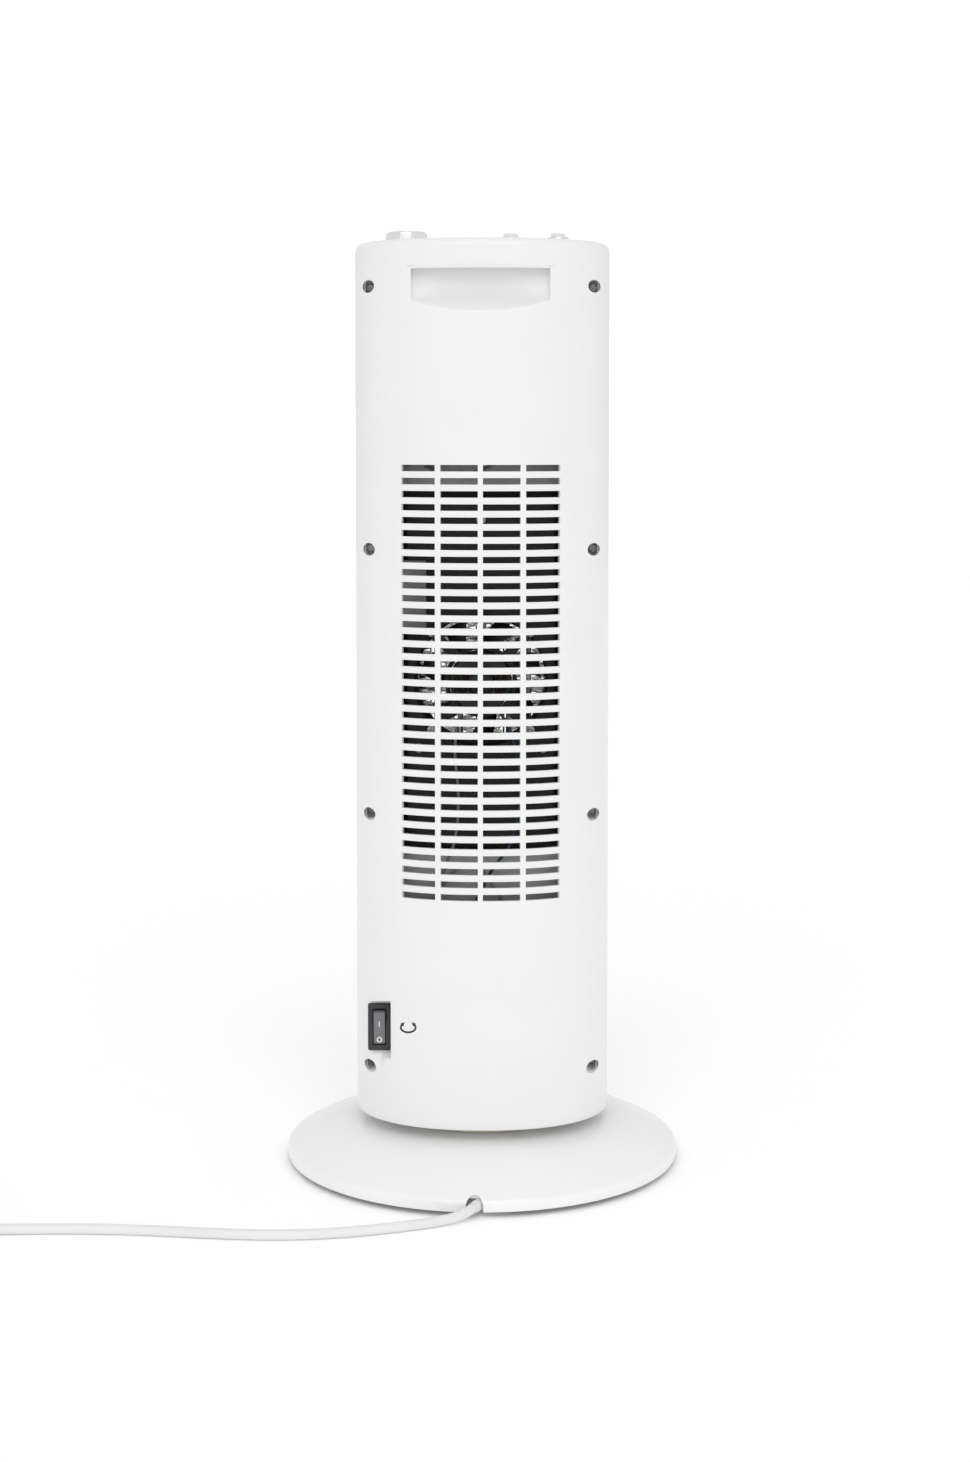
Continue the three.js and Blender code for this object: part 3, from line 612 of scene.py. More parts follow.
# ---------------------------------------------------------------- power cord
@dataclass
class PowerCord(Assembly):
    """The mains cord with its sleeve, coil, tie and plug."""

    radius: float = 3.0 * MM
    length: float = 1.5
    coil_centre: tuple[float, float] = (0.336, 0.118)
    coil_start: float = 41.0 * MM
    coil_end: float = 25.25 * MM
    turns: float = 5.25
    bottom: float = 1.2 * MM
    steps_per_turn: int = 72
    route: tuple = (
        (0.0012, 0.1216, 0.0064),
        (0.0036, 0.12575, 0.00618),
        (0.0052, 0.1281, 0.0059),
        (0.0074, 0.1306, 0.0054),
        (0.0098, 0.1327, 0.0049),
        (0.0126, 0.1346, 0.0043),
        (0.0154, 0.136, 0.0039),
        (0.028, 0.1415, 0.00315),
        (0.042, 0.1472, 0.0031),
        (0.058, 0.1528, 0.0031),
        (0.076, 0.158, 0.0031),
        (0.098, 0.162, 0.0031),
        (0.124, 0.1632, 0.0031),
        (0.152, 0.1614, 0.0031),
        (0.182, 0.158, 0.0031),
        (0.212, 0.1556, 0.0031),
        (0.242, 0.1552, 0.0031),
        (0.27, 0.1566, 0.0032),
        (0.292, 0.1582, 0.0038),
        (0.3125, 0.159, 0.0042),
        (0.324, 0.1591, 0.0042),
    )
    tail: tuple = (
        (0.3773, 0.106, 0.0102),
        (0.377, 0.0946, 0.0102),
        (0.3772, 0.086, 0.0096),
        (0.3778, 0.076, 0.0093),
        (0.378, 0.0664, 0.0093),
        (0.378, 0.060, 0.0093),
    )

    def coil(self) -> Array:
        """Points of the coil.

        The angle falls from a quarter turn at an even rate. The radius shrinks by one cord
        diameter a turn in the lower layer and grows again in the upper one, and the height
        climbs one diameter in the half turn between them.
        """
        half = self.turns / 2
        count = np.linspace(0, self.turns, int(self.turns * self.steps_per_turn) + 1)
        pitch = (self.coil_start - self.coil_end) / half
        radius = self.coil_end + pitch * np.abs(count - half)
        climb = np.clip((count - half + 0.25) / 0.5, 0, 1)
        low = self.bottom + self.radius
        height = low + 2 * self.radius * climb**2 * (3 - 2 * climb)
        angle = np.pi / 2 - 2 * np.pi * count
        x = self.coil_centre[0] + radius * np.cos(angle)
        y = self.coil_centre[1] + radius * np.sin(angle)
        return np.stack([x, y, height], axis=1)

    def build(self) -> None:
        """Make the cord and everything on it."""
        path = smooth_route(np.vstack([self.route, self.coil(), self.tail]), 2.2 * MM)
        run = float(np.linalg.norm(np.diff(path, axis=0), axis=1).sum())
        LOG.info("cord: %.3f m", run)
        cord = tube("mains_cord", path, self.radius, 14)
        cord = self.fit(cord, "cord_jacket", "base", "cord_jacket", ("power_cord", "cord_coil", "cord_tail"))
        sleeve = self._sleeve()
        tie = self._tie()
        plug = self._plug()
        pins = self._pins()

    def _sleeve(self) -> bpy.types.Object:
        """The strain relief: a tapered sleeve with grooves, fixed by a collar inside the rim."""
        inner = np.array([-7.4, 106.7, 7.4]) * MM
        tip = np.array([3.4, 125.4, 6.2]) * MM
        axis = tip - inner
        reach = float(np.linalg.norm(axis))
        s = np.linspace(0, 1, 90)
        radius = (3.85 - 0.45 * s) * MM
        groove = 0.28 * MM * np.clip(np.sin(2 * np.pi * s * 7) - 0.3, 0, 1) * (s > 0.3)
        collar = 1.2 * MM * ((s > 0.1) & (s < 0.22))
        profile = np.stack([radius - groove + collar, s * reach], axis=1)
        bore = self.radius + 0.1 * MM
        ends = np.array([[bore, 0.0]]), np.array([[bore, reach], [bore, 0.0]])
        sleeve = turned("cord_sleeve", np.vstack([ends[0], profile, ends[1]]), inner, axis, 28)
        return self.fit(sleeve, "cord_jacket", "base", "cord_jacket", ("cord_gland",))

    def _tie(self) -> bpy.types.Object:
        """A strap round the coil: a rounded rectangle of thin band with a small buckle."""
        x, y = self.coil_centre
        inner = y - self.coil_end + self.radius + 1.0 * MM
        outer = y - self.coil_start - self.radius - 1.0 * MM
        low, high = 0.45 * MM, self.bottom + 4 * self.radius + 0.6 * MM
        r = 3.0 * MM
        corners = [
            arc((inner - r, high - r), r, 0, 90, 7),
            arc((outer + r, high - r), r, 90, 180, 7),
            arc((outer + r, low + r), r, 180, 270, 7),
            arc((inner - r, low + r), r, 270, 360, 7),
        ]
        loop = np.vstack(corners)
        centre = loop.mean(axis=0)
        inside = centre + (loop - centre) * (1 - 0.35 * MM / np.abs(loop - centre).max())
        thick, wide = 0.45 * MM, 3.6 * MM
        direction = loop - centre
        direction /= np.linalg.norm(direction, axis=1, keepdims=True)
        proud = 0.4 * thick
        rings = []
        for out, side in ((-thick, -wide), (proud, -wide), (proud, wide), (-thick, wide), (-thick, -wide)):
            flat = inside + direction * out
            rings.append(np.column_stack([np.full(len(flat), x + side), flat]))
        points = np.array(rings)
        points[..., 2] = np.maximum(points[..., 2], 0.05 * MM)
        band = mesh_piece("band", points, grid_quads(len(rings), len(loop), wrap=True))
        buckle = rounded_box(
            "buckle",
            (x - 5 * MM, (inner + outer) / 2 - 4 * MM, high - 0.6 * MM),
            (x + 5 * MM, (inner + outer) / 2 + 4 * MM, high + 0.75 * MM),
            0.5 * MM,
        )
        tie = joined("coil_tie", [band, buckle])
        return self.fit(tie, "strap_black", "base", "tie_plastic", ("cord_tie",))

    def _plug(self) -> bpy.types.Object:
        """The plug: superellipse sections whose width and height grow from the cord to the face."""
        low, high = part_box("plug_body")
        x, z = (low[0] + high[0]) / 2, (low[2] + high[2]) / 2
        half_w, half_h = (high[0] - low[0]) / 2, (high[2] - low[2]) / 2
        back, face = high[1], low[1]
        s = np.linspace(0, 1, 46)
        swell = np.clip((s - 0.18) / 0.5, 0, 1)
        swell = swell * swell * (3 - 2 * swell)
        wide = 4.6 * MM + (half_w - 4.6 * MM) * swell
        tall = 4.6 * MM + (half_h - 4.6 * MM) * swell**0.8
        power = 2.0 + 1.4 * swell
        rib = 0.5 * MM * np.clip(np.sin(2 * np.pi * s * 24), 0, 1) * (s < 0.17)
        edge = np.sqrt(np.clip(1 - np.clip((s - 0.93) / 0.07, 0, 1) ** 2, 0, 1))
        wide = wide - rib - 1.8 * MM * (1 - edge)
        tall = tall - rib - 1.8 * MM * (1 - edge)
        grip = 0.5 * MM * np.clip(np.sin(2 * np.pi * s * 16), 0, 1) * ((s > 0.56) & (s < 0.82))
        angle = np.linspace(0, 2 * np.pi, 56, endpoint=False)
        c, d = np.cos(angle), np.sin(angle)
        p = (2 / power)[:, None]
        side = (np.abs(c) > 0.85)[None, :]
        px = x + (wide[:, None] - grip[:, None] * side) * np.sign(c) * np.abs(c) ** p
        pz = z + tall[:, None] * np.sign(d) * np.abs(d) ** p
        py = np.broadcast_to((back + (face - back) * s)[:, None], px.shape)
        points = np.stack([px, py, pz], axis=-1)
        faces = grid_quads(len(s), len(angle), wrap=True).tolist()
        faces.append(list(range(len(angle))))
        faces.append(list(range((len(s) - 1) * len(angle), len(s) * len(angle))))
        plug = mesh_piece("plug", points, faces)
        soften(plug, 0.3 * MM, 2, 50)
        return self.fit(bake_modifiers(plug), "cord_jacket", "base", "cord_jacket", ("plug_body",))

    def _pins(self) -> list[bpy.types.Object]:
        """Two round pins, each with a sleeved root and a rounded tip."""
        pins = []
        for node in ("plug_pin_1", "plug_pin_2"):
            low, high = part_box(node)
            r, reach = 2.4 * MM, high[1] - low[1]
            place = ((low[0] + high[0]) / 2, high[1], (low[2] + high[2]) / 2)
            tip = arc((0.4 * MM, reach - 2.0 * MM), 2.0 * MM, 0, 90, 8)
            root = [[0, 0], [r, 0], [r, 0.62 * reach], [r - 0.15 * MM, 0.63 * reach]]
            profile = np.vstack([root, tip, [[0, reach]]])
            pin = turned(node.replace("plug_", "brass_"), profile, place, (0, -1, 0), 28)
            pins.append(self.fit(pin, "pin_brass", "base", "plug_brass", (node,)))
        return pins


# ---------------------------------------------------------------- tower casing
@dataclass
class Section:
    """The tower's section, the superellipse |x/a|^p + |y/b|^p = 1.

    A point at angle t is (a |cos t|^(2/p), b |sin t|^(2/p)) with the signs of the cosine and
    the sine, and an inset makes both half axes smaller.
    """

    a: float
    b: float
    power: float = 2.22

    def at(self, angle: Array, inset: Array | float = 0.0) -> tuple[Array, Array]:
        """Return x and y at angles, moved inwards by an inset."""
        c, s = np.cos(angle), np.sin(angle)
        x = (self.a - inset) * np.sign(c) * np.abs(c) ** (2 / self.power)
        y = (self.b - inset) * np.sign(s) * np.abs(s) ** (2 / self.power)
        return x, y

    def angle(self, x: Array) -> Array:
        """Return the angle, from 0 to pi, at which the section has this x."""
        x = np.asarray(x, float)
        return np.arccos(np.sign(x) * np.abs(x / self.a) ** (self.power / 2))

    def depth(self, x: Array) -> Array:
        """Return the half depth at x."""
        return self.b * (1 - np.abs(np.asarray(x, float) / self.a) ** self.power) ** (1 / self.power)


def tower_section() -> Section:
    """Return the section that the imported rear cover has."""
    _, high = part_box("rear_cover")
    return Section(high[0], high[1])


def filled(breaks: Array, step: float) -> Array:
    """Return the breaks with even steps, no longer than step, put between them."""
    breaks = np.asarray(breaks, float)
    parts = [
        np.linspace(a, b, max(1, math.ceil(abs(b - a) / step - 1e-9)), endpoint=False)
        for a, b in zip(breaks[:-1], breaks[1:])
    ]
    return np.concatenate([*parts, breaks[-1:]])


@dataclass
class CasingHalf(Assembly):
    """What the rear and the front half of the casing share: a grid of the section over height.

    Columns are angles of the section and rows are heights. Above the side wall the rows run
    round the top edge, a quarter circle, and end in a flat lip around the top panel.
    """

    section: Section = field(default_factory=tower_section)
    bottom: float = 35 * MM
    top: float = 584 * MM
    edge: float = 5 * MM
    lip: float = 8 * MM
    wall: float = 2.4 * MM
    parting: float = 0.15 * MM
    edge_round: float = 0.3 * MM
    turn_step: float = math.radians(2.4)

    def columns(self, breaks: tuple[float, ...]) -> Array:
        """Return the angles of all columns, from the +X parting line to the -X one.

        Args:
            breaks: values of x above 0, rising, that need a column on both sides.
        """
        start = (self.parting / self.section.b) ** (self.section.power / 2)
        right = self.section.angle(np.array(breaks))[::-1]
        return filled(np.concatenate([[start], right, np.pi - right[::-1], [np.pi - start]]), self.turn_step)

    def over_edge(self, rows: Array) -> tuple[Array, Array]:
        """Add the rows of the top edge to the rows of the side wall; return heights and insets."""
        turn = np.linspace(0, np.pi / 2, 8)[1:]
        heights = np.concatenate([rows, self.top - self.edge * (1 - np.sin(turn)), [self.top]])
        insets = np.concatenate([np.zeros(len(rows)), self.edge * (1 - np.cos(turn)), [self.lip]])
        return heights, insets

    def finish_shell(self, name: str, points: Array, faces: list, side: int) -> bpy.types.Object:
        """Give the outer surface its wall and soft edges.

        Args:
            name: name of the piece.
            points: grid points and patch points, for the rear side.
            faces: all faces.
            side: 1 for the rear half, -1 for the front one.
        """
        points = points * np.array([1, side, 1])
        shell = mesh_piece(name, points, faces, 1e-5, inside=TOWER_MIDDLE)
        thicken(shell, self.wall)
        soften(shell, self.edge_round, 2)
        return bake_modifiers(shell)


@dataclass
class RearCasing(CasingHalf):
    """The rear half: intake slots, the scooped grip, the seat of the swing switch and screw wells."""

    edge_round: float = 0.2 * MM
    slot_columns: tuple = ((1.55 * MM, 24.6 * MM), (27.9 * MM, 48.8 * MM))
    slot_rows: int = 34
    slot_pitch: float = 8 * MM
    slot_height: float = 4 * MM
    slot_top: float = 446 * MM
    grip_half: float = 42.5 * MM
    grip_top: float = 568.5 * MM
    grip_side: float = 546 * MM
    grip_lip: float = 54.5 * MM
    seat_inner: float = 56.2 * MM
    seat_middle: float = 64 * MM
    seat_face: float = 38 * MM
    seat_low: float = 76.3 * MM
    seat_high: float = 108.3 * MM
    ledge_slope: float = 3.7
    window: tuple = (58.5 * MM, 69.5 * MM, 79 * MM, 106 * MM)
    screw_x: float = 70 * MM
    screw_heights: tuple = (67 * MM, 227 * MM, 393 * MM, 556 * MM)
    well: float = 4 * MM
    patch: float = 5 * MM
    well_floor: float = 18 * MM

    def build(self) -> None:
        """Make the rear casing with its screws and its swing mark."""
        angles = self.columns(
            (
                *self.slot_columns[0],
                self.slot_columns[1][0],
                self.grip_half,
                self.slot_columns[1][1],
                self.seat_inner,
                self.window[0],
                60.2 * MM,
                61.6 * MM,
                62.8 * MM,
                self.seat_middle,
                *(self.screw_x - self.patch + 2 * MM * k for k in range(6)),
            )
        )
        seat_column = int(np.argmin(np.abs(self.section.at(angles)[0] - self.seat_inner)))
        angles = np.insert(angles, seat_column, angles[seat_column])
        rows, ledge_row = self._rows()
        heights, insets = self.over_edge(rows)
        x, y = self.section.at(angles[None, :], insets[:, None])
        z = self._heights(heights, x)
        ledge = np.maximum(y[0, : seat_column + 2] - self.seat_face, 0) / self.ledge_slope
        z[ledge_row + 1, : seat_column + 2] += ledge
        seat = self._seat(x, z)
        beside, under = np.arange(len(angles)) <= seat_column, np.arange(len(heights)) <= ledge_row
        in_seat = beside[None, :] & under[:, None]
        y = np.where(in_seat, np.minimum(y, seat), y)
        points = np.stack([x, y, z], axis=-1)
        keep = ~self._open_cells(x[0], heights)
        faces = grid_quads(*x.shape, keep=keep).tolist()
        parts = [points.reshape(-1, 3)]
        patches = [self._grip(angles, heights, points), *self._wells(x[0], heights, points)]
        for patch_points, patch_faces in patches:
            count = sum(len(p) for p in parts)
            parts.append(patch_points)
            faces.extend([[k + count for k in face] for face in patch_faces])
        shell = self.finish_shell("rear_casing", np.vstack(parts), faces, 1)
        self.fit(shell, "white_shell", "tower", "white_shell", ("rear_cover",))
        self._screws()
        self._swing_mark()

    def _rows(self) -> tuple[Array, int]:
        """Return the heights of the side wall's rows, and the number of the row under the seat's ledge."""
        slots_low = self.slot_top - self.slot_rows * self.slot_pitch + self.slot_height
        below = np.concatenate([np.arange(38, 46, 4), np.arange(46, 76)]) * MM
        low = np.concatenate([[self.bottom], below, [self.seat_low]])
        switch = filled([self.window[2], self.window[3], self.seat_high], 4.5 * MM)
        middle = np.concatenate([[self.seat_high], filled([124 * MM, slots_low - 1 * MM], 8 * MM)])
        slots = np.arange(0, round((self.slot_top - slots_low) / (2 * MM)) + 1) * 2 * MM + slots_low
        upper = filled([self.slot_top + 2 * MM, 500 * MM, self.grip_side], 8 * MM)
        screw = self.screw_heights[-1]
        grip = np.concatenate([screw + np.arange(-5, 6, 2) * MM, [self.grip_top, 572 * MM, 575.5 * MM]])
        rows = np.concatenate([low, switch, middle, slots, upper, grip, [self.top - self.edge]])
        return rows, len(low) + len(switch) - 1

    def _seat(self, x: Array, z: Array) -> Array:
        """Depth of the seat of the swing switch.

        The seat is level over its height. Under it the depth grows with the distance below, by
        0.75 of it, and by more with the cube of the distance from the switch's middle towards
        the tower's, so that the recess ends in a point.
        """
        below = np.maximum(self.seat_low - z, 0)
        inwards = np.maximum(self.seat_middle - x, 0) / MM
        return self.seat_face + below * (0.75 + 0.04 * inwards**3)

    def grip_floor(self, x: Array) -> Array:
        """Height at which the grip's sloping floor meets the wall; level beyond the grip's sides."""
        inside = np.minimum(np.abs(x), self.grip_half)
        return 520 * MM + (90 * MM - self.section.depth(inside)) * 29 / 34

    def _heights(self, heights: Array, x: Array) -> Array:
        """Bend the rows under the grip: between 500 mm and its floor they spread in proportion."""
        low = 500 * MM
        share = np.clip((heights - low) / (self.grip_side - low), 0, 1)[:, None]
        bent = low + (self.grip_floor(x) - low) * share
        inside = ((heights > low) & (heights <= self.grip_side + 0.01 * MM))[:, None]
        return np.where(inside, bent, heights[:, None])

    def _open_cells(self, x: Array, z: Array) -> Array:
        """Return the mask of cells that are open: slots, grip, switch window and screw patches."""
        cx, cz = (x[:-1] + x[1:])[None, :] / 2, (z[:-1] + z[1:])[:, None] / 2
        side = np.abs(cx)
        across = np.zeros(side.shape, bool)
        for inner, outer in self.slot_columns:
            across |= (side > inner) & (side < outer)
        from_top = self.slot_top - cz
        in_slot = (from_top > 0) & (from_top < self.slot_rows * self.slot_pitch)
        in_slot &= np.mod(from_top, self.slot_pitch) < self.slot_height
        grip = (side < self.grip_half) & (cz > self.grip_side) & (cz < self.grip_top)
        x0, x1, z0, z1 = self.window
        window = (cx > x0) & (cx < x1) & (cz > z0) & (cz < z1)
        wells = np.zeros((len(z) - 1, len(x) - 1), bool)
        for height in self.screw_heights:
            wells |= (np.abs(side - self.screw_x) < self.patch) & (np.abs(cz - height) < self.patch)
        return (across & in_slot) | grip | window | wells

    def _grip(self, angles: Array, heights: Array, points: Array) -> tuple[Array, list]:
        """Return the scoop of the grip.

        In each column the surface runs from the wall down the sloping floor to a rounded pocket,
        up its back, along its roof and down behind the lip to the wall again. The lip's distances
        behind the wall shrink towards the ends, so that it keeps clear of the pocket's back. The
        two ends are flat faces between that profile and the wall's column.
        """
        x = self.section.at(angles)[0]
        inside = np.flatnonzero(np.abs(x) <= self.grip_half + 0.01 * MM)
        low_row = int(np.argmin(np.abs(heights - self.grip_side)))
        high_row = int(np.argmin(np.abs(heights - self.grip_top)))
        wall = self.section.depth(x[inside])
        share = np.linspace(0, 1, 9)[:, None]
        slope_z = points[low_row, inside, 2]
        back = [[57, 548.3], [54.2, 552.6], [52.6, 558], [52.0, 565], [52.2, 571], [53.2, 574.4]]
        deep = np.array(back) * MM
        pocket = smooth_route(np.column_stack([np.zeros(len(deep)), deep]), 1.3 * MM)[1:, 1:, None]
        roof, edge = [[9.5, 575], [7.5, 573.6], [6.2, 571], [4.6, 567.6]], [[3.6, 566], [2.5, 565.4]]
        behind = np.array([*roof, *edge, [1.3, 565.7], [0.4, 566.8]]) * MM
        level = np.ones((1, len(wall)))
        thin = np.minimum((wall - self.grip_lip) / behind[0, 0], 1)[None, :]
        lip_y, lip_z = wall[None, :] - behind[:, :1] * thin, behind[:, 1:] * level
        ys = [wall + (deep[0, 0] - wall) * share, pocket[:, 0] * level, lip_y, wall[None, :]]
        zs = [slope_z + (deep[0, 1] - slope_z) * share, pocket[:, 1] * level, lip_z, self.grip_top * level]
        ys, zs = np.vstack(ys), np.vstack(zs)
        xs = np.broadcast_to(x[inside], ys.shape)
        scoop = np.stack([xs, ys, zs], axis=-1)
        rows, cols = ys.shape
        faces = grid_quads(rows, cols).tolist()
        patch = [scoop.reshape(-1, 3)]
        count = rows * cols
        for end, column in ((0, inside[0]), (cols - 1, inside[-1])):
            edge = points[low_row + 1 : high_row, column][::-1]
            patch.append(edge)
            loop = [k * cols + end for k in range(rows)] + list(range(count, count + len(edge)))
            count += len(edge)
            faces.append(loop)
        return np.vstack(patch), faces

    def _wells(self, x: Array, z: Array, points: Array) -> list[tuple[Array, list]]:
        """Return the patches around the screw wells.

        Rings run from the square edge of the removed cells to a circle, always on the wall, and
        the circle goes straight in to the well's floor.
        """
        made = []
        for height in self.screw_heights:
            rows = np.flatnonzero(np.abs(z - height) <= self.patch + 0.01 * MM)
            for side in (1, -1):
                cols = np.flatnonzero(np.abs(x - side * self.screw_x) <= self.patch + 0.01 * MM)
                loop = np.concatenate(
                    [
                        points[rows[0], cols[:-1]],
                        points[rows[:-1], cols[-1]],
                        points[rows[-1], cols[:0:-1]],
                        points[rows[:0:-1], cols[0]],
                    ]
                )
                centre = np.array([side * self.screw_x, height])
                away = loop[:, [0, 2]] - centre
                circle = centre + self.well * away / np.linalg.norm(away, axis=1, keepdims=True)
                rings = [loop]
                for share in (0.5, 1.0):
                    flat = loop[:, [0, 2]] * (1 - share) + circle * share
                    rings.append(np.column_stack([flat[:, 0], self.section.depth(flat[:, 0]), flat[:, 1]]))
                for share in (0.5, 1.0):
                    inner = rings[2].copy()
                    inner[:, 1] += (self.well_floor - inner[:, 1]) * share
                    rings.append(inner)
                faces = grid_quads(len(rings), len(loop), wrap=True).tolist()
                faces.append(list(range((len(rings) - 1) * len(loop), len(rings) * len(loop))))
                made.append((np.vstack(rings), faces))
        return made

    def _screws(self) -> None:
        """Pan-head screws with a cross recess at the foot of each well."""
        number = 0
        for height in self.screw_heights:
            for side in (1, -1):
                number += 1
                place = (side * self.screw_x, self.well_floor + 0.3 * MM, height)
                screw = cross_screw(f"casing_screw_{number}", place, (0, 1, 0), 3.0 * MM, 2.3 * MM, 8 * MM)
                self.fit(screw, "zinc_plate", "tower", "zinc_steel", (f"case_screw_{number}",))

    def _swing_mark(self) -> None:
        """The swing sign beside the switch: an oval line, open above, with an arrow head at each end.

        It is drawn flat in x and z and laid on the wall, 0.06 mm proud. The line runs between
        two ovals, its own with half axes a and b made larger and smaller by half its width, from
        150 degrees through the lowest point to 390 degrees. Points further round the wall are
        set lower, by a quarter of their loss of depth, so that the sign looks level from above.
        """
        centre, a, b, line = np.array([45.0, 96.9]) * MM, 4.7 * MM, 3.0 * MM, 0.6 * MM
        turn = np.radians(np.linspace(150, 390, 41))[:, None]
        oval = [centre + np.hstack([(a + w) * np.cos(turn), (b + w) * np.sin(turn)]) for w in (-line, line)]
        sheets = [(np.stack(oval), grid_quads(2, 41).tolist())]
        for end, way in ((0, -1), (-1, 1)):
            t = float(turn[end, 0])
            root = centre + np.array([a * math.cos(t), b * math.sin(t)])
            along = way * np.array([-a * math.sin(t), b * math.cos(t)])
            along /= np.linalg.norm(along)
            side = np.array([-along[1], along[0]])
            head = np.stack([root - side * 1.35 * MM, root + side * 1.35 * MM, root + along * 2.6 * MM])
            sheets.append((head[None], [[0, 1, 2]]))
        pieces = []
        for k, (flat, faces) in enumerate(sheets):
            flat = flat.reshape(-1, 2)
            depth = self.section.depth(flat[:, 0])
            height = flat[:, 1] + 0.26 * (depth - self.section.depth(centre[0]))
            lifted = np.column_stack([flat[:, 0], depth + 0.06 * MM, height])
            piece = mesh_piece(f"mark_{k}", lifted, faces, inside=(0, 0, 0.1))
            thicken(piece, 0.3 * MM)
            pieces.append(bake_modifiers(piece))
        self.fit(joined("swing_mark", pieces), "mark_grey", "tower", "black_plastic")


def cross_screw(
    name: str, place: tuple, axis: tuple, radius: float, head: float, shank: float
) -> bpy.types.Object:
    """A pan-head screw with a cross recess.

    The head is a grid over radius and angle: its height falls as a circle towards the rim, and
    inside a cross of two slots it drops to the recess.

    Args:
        name: name of the piece.
        place: middle of the head's underside.
        axis: direction that the head faces.
        radius: radius of the head.
        head: height of the head.
        shank: length of the shank.
    """
    u, v, w = basis(np.asarray(axis, float))
    angle = np.linspace(0, 2 * np.pi, 48, endpoint=False)
    shares = [0.0, 0.12, 0.18, 0.24, 0.3, 0.42, 0.48, 0.54, 0.66, 0.8, 0.92, 0.98, 1.0, 1.0, 1.0]
    r = radius * np.array(shares)
    crown = head * (0.55 + 0.45 * np.sqrt(np.clip(1 - (r / radius) ** 2.4, 0, 1)))
    crown[-2:] = 0.3 * head, 0.0
    px, py = r[:, None] * np.cos(angle), r[:, None] * np.sin(angle)
    slot = 0.13 * radius
    reach = np.maximum(np.abs(px), np.abs(py))
    near = np.minimum(np.abs(px), np.abs(py))
    cross = (near < slot) & (reach < 0.52 * radius)
    height = crown[:, None] - np.where(cross, 0.55 * head * (1 - 0.6 * reach / radius), 0)
    under = np.array([[0.42 * radius, 0.0], [0.42 * radius, -shank], [0.0, -shank - 0.3 * radius]])
    ring = np.cos(angle)[:, None] * u + np.sin(angle)[:, None] * v
    top = np.asarray(place) + px[..., None] * u + py[..., None] * v + height[..., None] * w
    low = np.asarray(place) + under[:, 0, None, None] * ring + under[:, 1, None, None] * w
    points = np.concatenate([top, low])
    return mesh_piece(name, points, grid_quads(len(points), len(angle), wrap=True))


